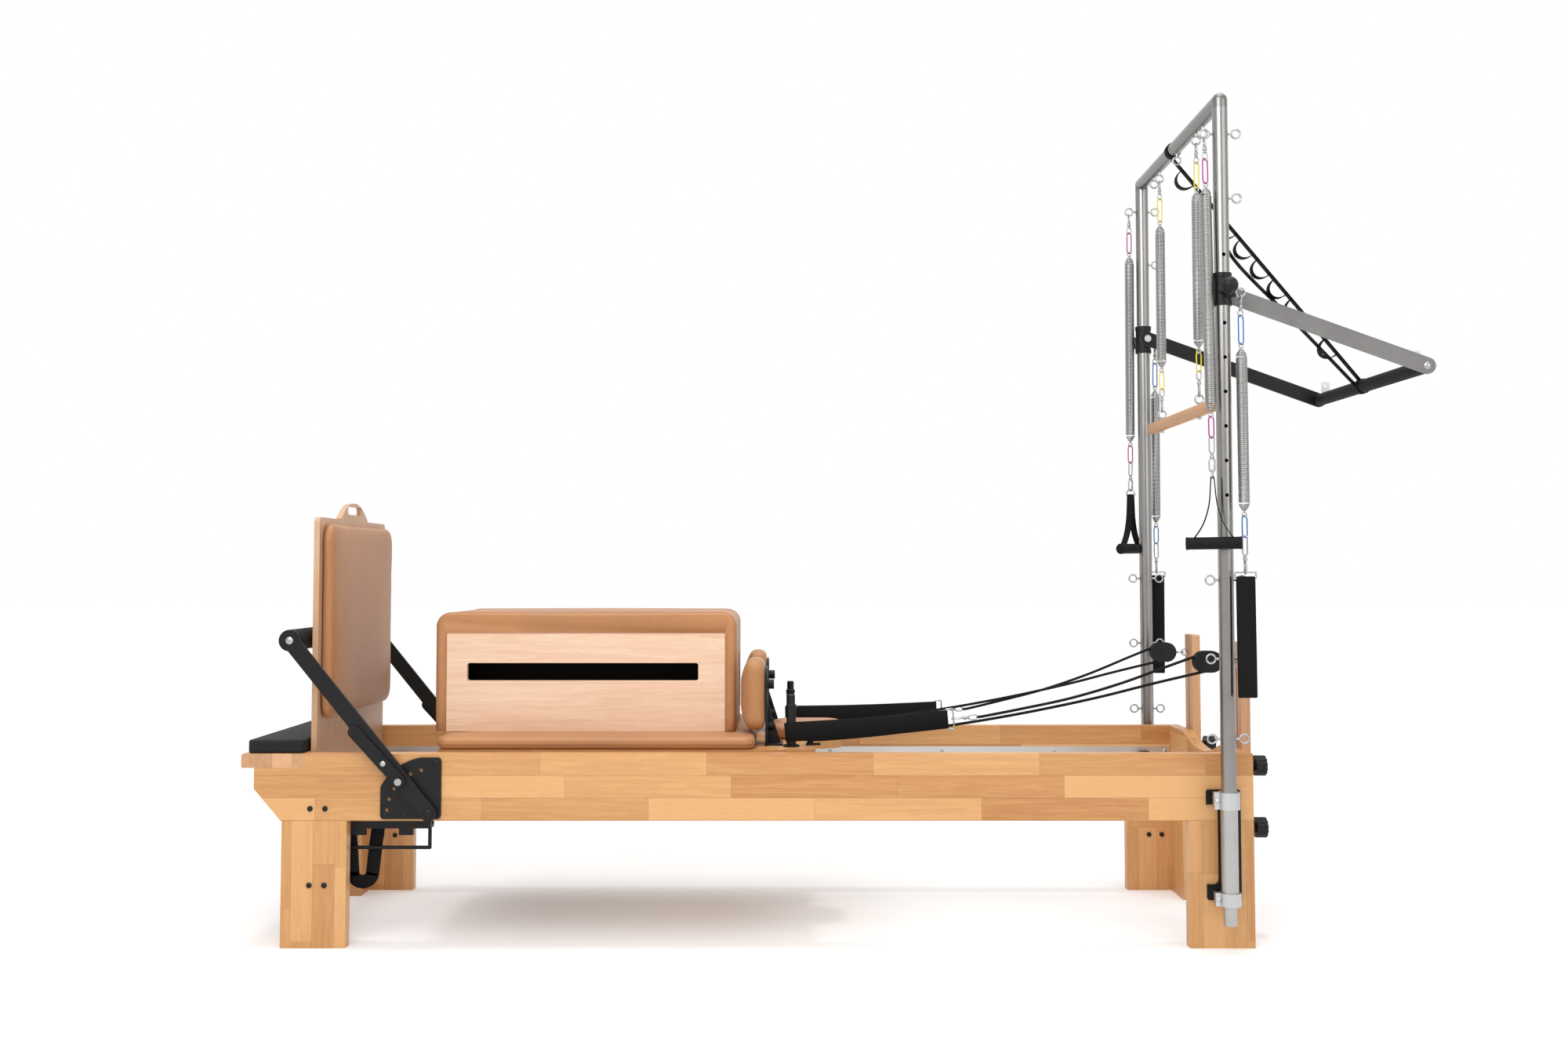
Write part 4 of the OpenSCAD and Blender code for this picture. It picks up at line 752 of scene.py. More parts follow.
    def take(self, other: "Shape") -> None:
        """Adds another shape's mesh to this one.

        Args:
            other: The other shape, which stays as it is.
        """
        self.verts.extend(other.verts)
        self.faces.extend(tuple(i + self.count for i in f) for f in other.faces)
        self.uvs.extend(other.uvs)
        self.marks.extend(other.marks)
        self.count += other.count

    def piece(self, name: str, body: str, *finishes: Finish) -> bpy.types.Object:
        """Makes the Blender object and lets it ride on its body.

        Args:
            name: Piece name.
            body: Body that carries it, or nothing for a piece that is blended later.
            finishes: Finishes by mark.

        Returns:
            The object.
        """
        mesh = bpy.data.meshes.new(name)
        mesh.from_pydata(np.vstack(self.verts).tolist(), [], self.faces)
        layer = mesh.uv_layers.new(name="UVMap")
        layer.data.foreach_set("uv", np.array(self.uvs, np.float32).ravel())
        for finish in finishes:
            mesh.materials.append(finish.build())
        mesh.polygons.foreach_set("material_index", np.array(self.marks, np.int32))
        mesh.polygons.foreach_set("use_smooth", np.ones(len(self.faces), bool))
        mesh.update()
        obj = added(name, mesh)
        if body:
            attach(obj, body)
        LOG.info("%s: %d faces on %s", name, len(self.faces), body or "two bodies")
        return obj


def link_path(length: float, width: float, wire: float, turn: float = 0.0) -> Points:
    """Centre line of an oval wire link that hangs from z 0, turned about Z.

    Args:
        length: Length over the wire.
        width: Width over the wire.
        wire: Wire thickness.
        turn: Turn about Z in degrees, 0 in the XZ plane.

    Returns:
        The closed loop's points.
    """
    r = (width - wire) / 2
    low = -length + wire / 2 + r
    high = -wire / 2 - r
    return turned(arc((0, high), r, 0, 180, 9) + arc((0, low), r, 180, 360, 9), turn)


def turned(points: Sequence[tuple[float, float]], turn: float) -> Points:
    """Points of the XZ plane turned about Z by degrees."""
    c, s = math.cos(math.radians(turn)), math.sin(math.radians(turn))
    return np.array([(x * c, x * s, z) for x, z in points])


@dataclass(frozen=True)
class SpringSize:
    """Sizes that every hanging spring shares."""

    diameter: float = 0.027
    wire: float = 0.0026
    tip: float = 0.0032
    curls: int = 5
    pitch: float = 0.0033
    eye_length: float = 0.015
    hook_wire: float = 0.0036
    link_wire: float = 0.004
    eye_wire: float = 0.0032

    @property
    def end_length(self) -> float:
        """Length of a wound taper."""
        return self.curls * self.pitch + self.wire + 0.0003


SPRING = SpringSize()


class SpringKit:
    """Builds wound springs with a node group, and the hooks and links round them."""

    def __init__(self) -> None:
        """Makes the node group once."""
        self.group = self._make_group()

    def _make_group(self) -> bpy.types.NodeTree:
        """A closed winding: a spiral with a round profile.

        Returns:
            The node group.
        """
        group = bpy.data.node_groups.new("closed_winding", "GeometryNodeTree")
        kinds = {name: "Float" for name in ("Radius", "Wire Radius", "Height", "Turns")}
        kinds |= {"Steps Per Turn": "Int", "Material": "Material"}
        for name, kind in kinds.items():
            group.interface.new_socket(name=name, in_out="INPUT", socket_type=f"NodeSocket{kind}")
        group.interface.new_socket(name="Geometry", in_out="OUTPUT", socket_type="NodeSocketGeometry")
        ask = grow(group, "NodeGroupInput")
        given = {name: Field(group, ask.outputs[name]) for name in kinds}
        sizes = {"Resolution": given["Steps Per Turn"], "Rotations": given["Turns"]}
        sizes |= {"Start Radius": given["Radius"], "End Radius": given["Radius"], "Height": given["Height"]}
        spiral = grow(group, "GeometryNodeCurveSpiral", None, sizes)
        sizes = {"Resolution": 6, "Radius": given["Wire Radius"]}
        ring = grow(group, "GeometryNodeCurvePrimitiveCircle", None, sizes)
        sweep = {"Curve": Field(group, spiral.outputs[0]), "Profile Curve": Field(group, ring.outputs[0])}
        last = grow(group, "GeometryNodeCurveToMesh", None, {**sweep, "Fill Caps": True})
        for kind, more in (
            ("GeometryNodeSetShadeSmooth", {}),
            ("GeometryNodeRealizeInstances", {}),
            ("GeometryNodeSetMaterial", {"Material": given["Material"]}),
            ("NodeGroupOutput", {}),
        ):
            last = grow(group, kind, None, {"Geometry": Field(group, last.outputs[0]), **more})
        return group

    def winding(
        self, name: str, body: str, matrix: Matrix, size: tuple[float, float, float], finish: Finish
    ) -> bpy.types.Object:
        """Makes one closed winding as a real mesh at its place.

        Args:
            name: Piece name.
            body: Body that carries it.
            matrix: Place of its lower end, with the winding's axis along local Z.
            size: Outer diameter, wire and length.
            finish: Its finish.

        Returns:
            The piece.
        """
        outer, wire, length = size
        host = added(f"{name}_host", bpy.data.meshes.new(f"{name}_host"))
        modifier = host.modifiers.new("winding", "NODES")
        modifier.node_group = self.group
        values = {
            "Radius": (outer - wire) / 2,
            "Wire Radius": wire / 2,
            "Height": length - wire,
            "Turns": (length - wire) / (wire * 1.12),
            "Steps Per Turn": 14,
            "Material": finish.build(),
        }
        for item in self.group.interface.items_tree:
            if item.in_out == "INPUT":
                modifier[item.identifier] = values[item.name]
        mesh = evaluated(host)
        bpy.data.objects.remove(host)
        mesh.transform(matrix @ Matrix.Translation((0, 0, wire / 2)))
        mesh.name = name
        obj = added(name, mesh)
        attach(obj, body)
        return obj

    def taper(self, down: bool) -> Points:
        """Path of a wound end from the body at z 0 to its tip.

        Args:
            down: Whether it runs down, not up.

        Returns:
            Its points.
        """
        s = np.linspace(0, 1, SPRING.curls * 16 + 1)
        body = (SPRING.diameter - SPRING.wire) / 2
        r = body + (SPRING.tip - body) * s**1.4
        a = math.tau * SPRING.curls * s
        z = SPRING.wire / 2 + 0.0003 + s * SPRING.curls * SPRING.pitch
        return np.column_stack([r * np.cos(a), r * np.sin(a), -z if down else z])

    def snap(self, length: float, bow_turn: float, eye_turn: float) -> Shape:
        """A snap hook from z 0 down: bow with its gate, body, swivel and eye.

        Args:
            length: Whole length.
            bow_turn: Turn of the bow's plane in degrees.
            eye_turn: Turn of the eye's plane in degrees.

        Returns:
            The shape.
        """
        shape = Shape()
        bow = min(length * 0.5, 0.036)
        shape.tube(link_path(bow, 0.017, SPRING.hook_wire, bow_turn), SPRING.hook_wire / 2, 10, True)
        gate = turned([(0.0048, -0.007), (0.0049, -bow + 0.004)], bow_turn)
        shape.tube(gate, 0.0017, 8)
        swivel = ((2.0, 4.0), (4.5, 3.0), (5.2, -1.0), (5.2, -4.0), (4.0, -5.0))
        swivel += ((2.6, -5.5), (2.6, -7.5), (4.4, -8.0), (4.4, -9.8), (2.0, -10.5))
        shape.lathe([(r * 0.001, z * 0.001 - bow) for r, z in swivel], Vector((0, 0, 0)), Axis.Z)
        low = bow + 0.0088
        eye = link_path(length - low, 0.015, SPRING.hook_wire, eye_turn)
        shape.tube(eye - np.array([0, 0, low]), SPRING.hook_wire / 2, 10, True)
        return shape

    def hung(self, sizes: "HungSet") -> tuple[Shape, tuple[float, float]]:
        """All the hooks, links and tapers of a hanging spring.

        Args:
            sizes: The set's sizes.

        Returns:
            The shape, and the lower and upper end of the closed winding.
        """
        g, seat, end_link = PLAN.gap, 0.0004, 0.056
        hook, link, eye = SPRING.hook_wire, SPRING.link_wire, SPRING.eye_wire
        a_top = hook + g
        b_top = a_top - sizes.hook + hook + link + g
        b_end = sizes.top + seat + SPRING.eye_length - link - eye - g
        c_top = sizes.top - sizes.length - seat - SPRING.eye_length + eye + link + g
        e_top = c_top - end_link + hook + link + g
        shape = Shape()

        def add(other: Shape, z: float, flip: bool = False, turn: float = 0.0) -> None:
            """Adds a form at a height, upside down or turned.

            Args:
                other: The form.
                z: Its height.
                flip: Whether it hangs upside down.
                turn: Turn about Z in degrees.
            """
            place = Matrix.Translation((0, 0, z)) @ Matrix.Rotation(math.radians(turn), 4, "Z")
            if flip:
                place = place @ Matrix.Rotation(math.pi, 4, "X")
            shape.take(other.placed(place))

        def oval(length: float) -> Shape:
            """A coated oval link.

            Args:
                length: Length over the wire.

            Returns:
                The link, from z 0 down.
            """
            made = Shape()
            made.mark = 2
            made.tube(link_path(length, 0.022, link, 35), link * 0.4, 12, True)
            return made

        add(self.snap(sizes.hook, 90, 0), a_top)
        add(oval(b_top - b_end), b_top)
        for flip, z in ((False, sizes.top), (True, sizes.top - sizes.length)):
            end = Shape()
            end.mark = 1
            loop = link_path(SPRING.eye_length, 0.013, eye) + np.array([0, 0, SPRING.eye_length + seat])
            end.tube(loop, eye / 2, 10, True)
            end.tube(np.array([[0, 0, 0.0014], [0, 0, -0.006]]), eye / 2, 8)
            add(end, z, flip)
        shape.mark = 1
        low = sizes.top - sizes.length + SPRING.end_length
        shape.tube(self.taper(False) + np.array([0, 0, sizes.top - SPRING.end_length]), SPRING.wire / 2, 8)
        shape.tube(self.taper(True) + np.array([0, 0, low]), SPRING.wire / 2, 8)
        add(oval(end_link), c_top)
        add(self.snap(e_top - sizes.end, -sizes.bow_turn, 0), sizes.end, True, sizes.twist)
        return shape, (low, sizes.top - SPRING.end_length)


@dataclass(frozen=True)
class HungSet:
    """One hanging spring's own sizes: z 0 is the top of the wire that it hangs on."""

    hook: float
    top: float
    length: float
    end: float
    bow_turn: float
    twist: float = 0.0


class Palette:
    """Every finish of the part."""

    def __init__(self) -> None:
        """Names the finishes with their colours."""
        oak = (srgb(225, 172, 113), srgb(182, 120, 66))
        deep = (srgb(226, 176, 130), srgb(174, 124, 86))
        ply = (srgb(230, 194, 160), srgb(190, 146, 110))
        veneer = (srgb(252, 224, 198), srgb(224, 184, 152))
        beech = (srgb(226, 176, 120), srgb(184, 126, 74))
        self.rail_wood = Wood("oak_rail", *oak, Axis.X, Axis.Z, 0.0533, 0.4, 0.7)
        self.leg_wood = Wood("oak_leg", *oak, Axis.Z, Axis.X, 0.052, 0.3, 0.62)
        self.end_wood = Wood("oak_end", *oak, Axis.Y, Axis.Z)
        self.board_wood = Wood("oak_board", *deep, Axis.Y, Axis.X, 0.05)
        self.deck_wood = Wood("oak_deck", *oak, Axis.X, Axis.Y, 0.06)
        self.riser_wood = Wood("oak_riser", *deep, Axis.Z, Axis.Y, 0.08, 2.0, 0.2)
        self.jump_wood = Wood("jump_ply", *ply, Axis.Z, Axis.Y, 60.0, 60.0, 0.2)
        self.box_wood = Wood("box_veneer", *veneer, Axis.X, Axis.Z, 9.0, 30.0, 0.0)
        self.bar_wood = Wood("bar_beech", *beech, Axis.Y, Axis.Z, 60.0, 60.0, 0.1)
        self.vinyl = Vinyl("tan_vinyl", srgb(179, 124, 77))
        self.seam = Vinyl("tan_seam", srgb(150, 98, 58), 900.0, 0.5)
        self.black = Coat("black_powder", srgb(16, 16, 17), 0.46, shine=0.26)
        self.grey = Coat("grey_powder", srgb(112, 110, 108), 0.4)
        self.plastic = Coat("black_moulding", srgb(13, 13, 14), 0.42, 500.0, shine=0.28)
        self.dark_plastic = Coat("wheel_moulding", srgb(52, 52, 54), 0.42, 500.0)
        self.pale_plastic = Coat("pale_tab", srgb(226, 224, 220), 0.4, 500.0)
        self.rubber = Coat("pad_rubber", srgb(20, 19, 18), 0.7, 700.0, 0.00018, 0.1, 0.3)
        self.foam = Coat("grip_foam", srgb(12, 12, 13), 0.72, 480.0, 0.0003, 0.1, 0.22)
        # Partly painted light: the sleeve is its own part with its own finish, but its lighter colour is
        # also a painted highlight, and the post's darker colour painted shade, making up for the darker
        # floor and brighter sky that they reflect.
        self.tube = Metal("stainless_post", srgb(148, 146, 144), 0.22)
        self.sleeve_finish_and_painted_highlight = Metal("stainless_sleeve_finish_and_painted_highlight", srgb(180, 179, 177), 0.26)
        self.cross_tube = Metal("stainless_bar", srgb(132, 130, 128), 0.24, Axis.Y)
        self.cast = Metal("cast_clamp", srgb(196, 197, 198), 0.42, Axis.Z, 0.05)
        self.zinc = Metal("bright_zinc", srgb(176, 176, 175), 0.24, Axis.X, 0.06)
        self.spring = Metal("spring_wire", srgb(178, 177, 175), 0.3, Axis.Z, 0.05)
        self.track = Metal("track_alloy", srgb(220, 220, 220), 0.36, Axis.X)
        self.yellow = Coat("yellow_link", srgb(238, 214, 44), 0.35, 600.0)
        self.purple = Coat("purple_link", srgb(168, 36, 128), 0.35, 600.0)
        self.blue = Coat("blue_link", srgb(36, 104, 176), 0.35, 600.0)
        self.webbing = Webbing("black_webbing", srgb(9, 9, 10))
        self.cord = Webbing("black_cord", srgb(14, 14, 14), 0.0022)


def stand_for(node: str, *pieces: bpy.types.Object) -> None:
    """Hides a CAD node, once for each piece that replaces it."""
    for piece in pieces:
        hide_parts(node)


def dress(node: str, finish: Finish) -> None:
    """Gives every material slot of a CAD node its finish."""
    for slot in bpy.data.objects[node].material_slots:
        slot.material = finish.build()


@dataclass
class Timber:
    """The bed's boards, legs, platform and steel fittings: CAD nodes that keep their shape."""

    palette: Palette

    def build(self) -> None:
        """Dresses the nodes, and the ones of two finishes by a mask on their place."""
        p = self.palette
        for finish, nodes in (
            (p.rail_wood, "side_rails"),
            (p.end_wood, "end_boards"),
            (p.leg_wood, "legs"),
            (p.board_wood, "foot_platform"),
            (p.jump_wood, "jump_board"),
            (p.box_wood, "box_panels"),
            (p.cross_tube, "tower_crossbar"),
            (p.cast, "tower_clamps"),
            (p.zinc, "tower_eyebolts lock_pin_near lock_pin_far"),
            (p.black, "spring_bar footbar_plates tower_brackets shoulder_brackets"),
            (p.dark_plastic, "foot_wheels head_wheels pulley_wheel_near pulley_wheel_far"),
            (p.plastic, "pop_pin_near pop_pin_far knob_near_upper knob_near_lower"),
            (p.plastic, "knob_far_upper knob_far_lower"),
        ):
            for node in nodes.split():
                dress(node, finish)
        places = (2.2795, 2.3515, 2.4001, 2.3638, PLAN.peg[0])
        stop, pivot, edge, cheek, peg = (PLAN.at(x, 0, 0).x for x in places)
        sleeve_top = 0.379
        faces = Split("push_arm_faces", p.grey, p.black, lambda x, y, z: abs(y) < 0.3652)
        masks = {
            "slide_tracks": (
                p.track, p.plastic, lambda x, y, z: (x > stop) * (abs(y) < 0.3069) * (z > 0.3442),
            ),
            # The lower sleeve takes the lighter steel: its own part, and partly a painted highlight.
            "tower_posts": (p.tube, p.sleeve_finish_and_painted_highlight, lambda x, y, z: z < sleeve_top),
            "frame_bolts": (p.black, p.zinc, lambda x, y, z: (abs(y) < 0.3075) * (z > 0.305)),
            "carriage_deck": (p.deck_wood, p.zinc, lambda x, y, z: z < 0.4449),
            "footbar_arms": (
                p.black, p.zinc, lambda x, y, z: (abs(y) > 0.3702) | ((abs(y) > 0.3641) * (z > 0.69)),
            ),
            "strap_pegs": (
                p.plastic, p.zinc, lambda x, y, z: (z > 0.5618) * (z < 0.5692) * (abs(x - peg) > 0.0116),
            ),
            "slider_collars": (p.plastic, p.zinc, lambda x, y, z: (x > pivot) | (abs(y) < 0.3728)),
            "push_arms": (
                Split("push_arm_steel", faces, p.zinc, lambda x, y, z: abs(y) > 0.3721),
                p.pale_plastic, lambda x, y, z: abs(y) < 0.34,
            ),
            "roll_down_bar": (p.bar_wood, p.zinc, lambda x, y, z: abs(z - 1.3066) > 0.0162),
        }
        for side in ("near", "far"):
            masks[f"riser_{side}"] = (p.riser_wood, p.zinc, lambda x, y, z: x < edge)
            masks[f"pulley_{side}"] = (p.plastic, p.zinc, lambda x, y, z: x > cheek)
        for node, (first, second, mask) in masks.items():
            dress(node, Split(f"{node}_finish", first, second, mask))


@dataclass(frozen=True)
class Cushion:
    """A crowned, padded form over a rounded outline, with its welt."""

    name: str
    node: str
    body: str
    size: tuple[float, float, float]
    corner: float
    crown: float
    pull: float
    edge: float
    place: Matrix
    fill: float = 0.8
    welts: tuple[float, ...] = ()
    stuffed: bool = False
    swell: float = 0.003
    voxel: float = 0.005
    steps: int = 20

    @property
    def stuffing(self) -> dict[str, float]:
        """The cloth's settings: light, stiff and blown up.

        Returns:
            Values by the setting's name.
        """
        return {
            "use_pressure": True,
            "uniform_pressure_force": 4.0,
            "mass": 0.3,
            "tension_stiffness": 30,
            "compression_stiffness": 30,
            "bending_stiffness": 6.0,
            "quality": 4,
        }

    def outline(self, inset: float, count: int = 160) -> Points:
        """Rounded outline drawn in between its corners.

        Args:
            inset: Distance in from the edge.
            count: Points round it.

        Returns:
            Points in the pad's plane.
        """
        w, l = self.size[0] / 2 - inset, self.size[1] / 2 - inset
        r = max(self.corner - inset, 0.004)
        corners = ((w - r, l - r, 0), (r - w, l - r, 90), (r - w, r - l, 180), (w - r, r - l, 270))
        share = count // 8
        arcs = [arc((x, y), r, start, start + 90, share + 1) for x, y, start in corners]
        points = []
        for now, after in zip(arcs, arcs[1:] + arcs[:1]):
            points += [*now, *np.linspace(now[-1], after[0], count // 4 - share + 1)[1:-1]]
        p = np.array(points)
        draw = self.pull * (1 - (p / np.array([w, l])) ** 2).clip(0, 1)[:, ::-1]
        return p - np.sign(p) * draw * (np.abs(p) / np.array([w, l]))

    def rows(self) -> list[tuple[float, float]]:
        """Inset and height of each ring, from the underside's middle to the crown's.

        Returns:
            One pair for each ring.
        """
        t, e = self.size[2], self.edge
        flat = t - self.crown
        half = min(self.size[:2]) / 2
        rings = [(half * 0.6, 0.0), (e * 1.4, 0.0)]
        rings += [(e * (1 - math.sin(a)), e * (1 - math.cos(a))) for a in np.linspace(0, 1.4, 6)]
        rings += [(0.0, e + (flat - 2 * e) * k / 4) for k in range(1, 4)]
        rings += [
            (e * (1 - math.cos(a)), flat - e + e * math.sin(a)) for a in np.linspace(0.1, 1.45, 8)
        ]
        for k in range(1, 15):
            inset = e + (half * 0.97 - e) * (k / 14)
            rise = math.sin(math.pi / 2 * min(1.0, (inset - e) / (half * 0.62)))
            rings.append((inset, flat + self.crown * rise))
        return rings

    def build(self, palette: Palette) -> bpy.types.Object:
        """Makes the pad with its welts, and hides the CAD solid it stands for.

        Args:
            palette: Finishes of the part.

        Returns:
            The piece.
        """
        rng = np.random.default_rng(SEED + len(self.name))
        rows = []
        for inset, height in self.rows():
            ring = self.outline(min(inset, min(self.size[:2]) / 2 - 0.003))
            rows.append(np.column_stack([ring, np.full(len(ring), height)]))
        grid = np.array(rows)
        waves = rng.uniform(0, math.tau, 6)
        turn = np.arange(grid.shape[1]) * math.tau / grid.shape[1]
        side = np.where(abs(grid[:, 0, 2] / self.size[2] - 0.5) < 0.4, 1.0, 0.25)
        ripple = sum(np.sin(turn * (9 + 7 * k) + waves[k]) / (k + 1) for k in range(6))
        normal = grid[:, :, :2] / np.linalg.norm(grid[:, :, :2], axis=2, keepdims=True).clip(1e-6)
        grid[:, :, :2] -= normal * (0.00035 * (1 + ripple[None, :, None]) * side[:, None, None])
        shape = Shape()
        if self.stuffed:
            shape.take(self.stuff(grid))
        else:
            shape.grid(grid)
        shape.mark = 1
        for share in self.welts:
            height = self.edge + (self.size[2] - self.crown - 2 * self.edge) * share
            loop = self.outline(-0.0004)
            shape.tube(np.column_stack([loop, np.full(len(loop), height)]), 0.0011, 6, True)
        shape.placed(self.place)
        obj = shape.piece(self.name, self.body, palette.vinyl, palette.seam)
        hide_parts(self.node)
        return obj

    def stuff(self, grid: Points) -> Shape:
        """Blows the cover up by cloth simulation from a slightly smaller shape.

        Args:
            grid: Rings of the drawn form.

        Returns:
            The stuffed cover, capped to a few millimetres of swelling.
        """
        start = Shape()
        shrink = 1 - self.swell * 0.8 / (np.array(self.size) * np.array([0.5, 0.5, 1.0]))
        start.grid(grid * shrink)
        mesh = bpy.data.meshes.new(f"{self.name}_cover")
        mesh.from_pydata(np.vstack(start.verts).tolist(), [], start.faces)
        cover = added(mesh.name, mesh)
        remesh = cover.modifiers.new("remesh", "REMESH")
        remesh.mode = "VOXEL"
        remesh.voxel_size = self.voxel
        self.settle(cover)
        rest = np.array([v.co for v in cover.data.vertices])
        cloth = cover.modifiers.new("cloth", "CLOTH")
        for key, value in self.stuffing.items():
            setattr(cloth.settings, key, value)
        cloth.settings.effector_weights.gravity = 0.0
        for step in range(1, self.steps + 1):
            bpy.context.scene.frame_set(step)
        self.settle(cover)
        bpy.context.scene.frame_set(1)
        moved = np.array([v.co for v in cover.data.vertices]) - rest
        far = np.linalg.norm(moved, axis=1)[:, None]
        moved *= np.minimum(1.0, self.swell / far.clip(1e-9))
        moved[:, 2] *= np.clip(rest[:, 2] / (self.size[2] * 0.3), 0.0, 1.0)
        points = rest + moved
        half = np.array([self.size[0] / 2, self.size[1] / 2])
        points[:, :2] = np.clip(points[:, :2], -half, half)
        points[:, 2] = np.clip(points[:, 2], 0.0, self.size[2] + 0.001)
        cover.data.vertices.foreach_set("co", points.astype(np.float32).ravel())
        smooth = cover.modifiers.new("smooth", "CORRECTIVE_SMOOTH")
        smooth.use_only_smooth = True
        smooth.iterations = 6
        if len(cover.data.polygons) < 30000:
            fine = cover.modifiers.new("fine", "SUBSURF")
            fine.levels = fine.render_levels = 1
        self.settle(cover)
        made = Shape()
        made.verts.append(np.array([v.co for v in cover.data.vertices]))
        made.faces = [tuple(f.vertices) for f in cover.data.polygons]
        made.uvs = [(0.0, 0.0)] * len(cover.data.loops)
        made.marks = [0] * len(made.faces)
        made.count = len(cover.data.vertices)
        bpy.data.objects.remove(cover)
        return made

    @staticmethod
    def settle(obj: bpy.types.Object) -> None:
        """Applies the object's modifiers to its mesh."""
        mesh = evaluated(obj)
        obj.modifiers.clear()
        obj.data = mesh


@dataclass
class Upholstery:
    """The tan cushions, the box's wrapped cover and the black foot pad."""

    palette: Palette

    def build(self) -> None:
        """Makes every soft piece."""
        at = Matrix.Translation
        upright = Matrix(((0, 0, 1, 0), (1, 0, 0, 0), (0, 1, 0, 0), (0, 0, 0, 1)))
        back = Matrix(((0, 0, -1, 0), (-1, 0, 0, 0), (0, 1, 0, 0), (0, 0, 0, 1)))
        pads = [
            Cushion(
                "mat_cushion", "carriage_mat", "carriage", size=(0.777, 0.613, 0.033), corner=0.03,
                crown=0.002, pull=0.002, edge=0.0125, place=at(PLAN.at(0.814, 0, 0.4663)), fill=0.9,
                welts=(0.06,),
            ),
            Cushion(
                "jump_cushion", "jump_board_pad", "jump_board_set", size=(0.583, 0.497, 0.036),
                corner=0.044, crown=0.007, pull=0.0015, edge=0.016,
                place=at(PLAN.at(0.13612, 0, 0.7775)) @ upright, stuffed=True, voxel=0.006,
            ),
            Cushion(
                "headrest_cushion", "headrest", "head_rest", size=(0.204, 0.170, 0.0455), corner=0.022,
                crown=0.006, pull=0.002, edge=0.014, place=at(PLAN.at(1.335, 0, 0.4664)),
                stuffed=True, voxel=0.004,
            ),
        ]
        for side, name in ((-1, "near"), (1, "far")):
            pads.append(Cushion(
                f"shoulder_cushion_{name}", "shoulder_pads", "carriage", size=(0.148, 0.187, 0.063),
                corner=0.034, crown=0.014, pull=0.003, edge=0.016,
                place=at(PLAN.at(1.2256, side * 0.175, 0.5938)) @ back, stuffed=True, voxel=0.004,
            ))
        for pad in pads:
            pad.build(self.palette)
        self.box_cover()
        self.foot_pad()

    def box_cover(self) -> None:
        """The box's cover: padded top and ends wrapped over the carcass, with seams, and a black sheet of
        painted shade inside the box.
        """
        x0, z0, w, h = 0.398, 0.4988, 0.754, 0.298
        thick, cap, half, soft = 0.0267, 0.0518, 0.19, 0.012
        bend_x, bend_z, flat_top = 0.036, 0.0335, h - 0.001
        quarter, share = np.linspace(0, math.pi / 2, 14), np.linspace(0, 1, 21)[1:-1]
        left = [(0.0, h * 0.86 * k / 8) for k in range(9)]
        left += [(bend_x * (1 - math.cos(a)), flat_top - bend_z * (1 - math.sin(a))) for a in quarter]
        top = [(bend_x + (w - 2 * bend_x) * t, flat_top + 0.0012 * math.sin(math.pi * t)) for t in share]
        o = np.array([*left, *top, *[(w - x, z) for x, z in left[::-1]]])
        i = np.clip(o, [thick, 0], [w - thick, h - cap])
        ys = [-half + soft * (1 - math.cos(a)) for a in np.linspace(0.0, math.pi / 2, 7)]
        ins = [soft * (1 - math.sin(a)) for a in np.linspace(0.0, math.pi / 2, 7)]
        ys = ys + list(np.linspace(-half + soft, half - soft, 18))[1:-1] + [-y for y in ys[::-1]]
        ins = ins + [0.0] * 16 + ins[::-1]
        middle = np.array([w / 2, h * 0.4])
        toward = (middle - o) / np.linalg.norm(middle - o, axis=1)[:, None]
        rows = []
        for y, inset in zip(ys, ins):
            edge = o + toward * inset
            edge[:, 1] = np.clip(edge[:, 1], 0.0, None)
            ring = np.vstack([edge, i[::-1]])
            rows.append(np.column_stack([ring[:, 0], np.full(len(ring), y), ring[:, 1]]))
        shape = Shape()
        shape.grid(np.array(rows))
        shape.mark = 1
        for y in (-half + 0.0105, half - 0.0105):
            line = np.column_stack([o[:, 0], np.full(len(o), y), o[:, 1]])
            line[:, [0, 2]] += toward * 0.0002
            shape.tube(line[1:-1], 0.0012, 6)
        shape.placed(Matrix.Translation(PLAN.at(x0, 0, z0)))
        obj = shape.piece("box_cushion", "sitting_box", self.palette.vinyl, self.palette.seam)
        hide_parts("box_cover")
        # Painted shade: a black sheet down the box's middle stands for the shade inside the box, so the
        # slots look dark.
        painted_shade_sheet = Shape()
        wall = np.array([PLAN.at(x, 0.0, 0.6225) for x in np.linspace(0.4262, 1.1238, 24)])
        painted_shade_sheet.band(wall, np.array([0, 0, 1.0]), 0.2440, 0.003)
        painted_shade_sheet.piece("box_painted_shade_sheet", "sitting_box", self.palette.rubber)

    def foot_pad(self) -> None:
        """The black pad on the foot platform."""
        lo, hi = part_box("platform_pad")
        pad = Cushion(
            "foot_pad", "platform_pad", "frame", size=tuple(b - a for a, b in zip(lo, hi)), corner=0.012,
            crown=0.001, pull=0.0008, edge=0.006, fill=1.0,
            place=Matrix.Translation(((lo[0] + hi[0]) / 2, (lo[1] + hi[1]) / 2, lo[2])),
        )
        obj = pad.build(self.palette)
        obj.data.materials[0] = self.palette.rubber.build()


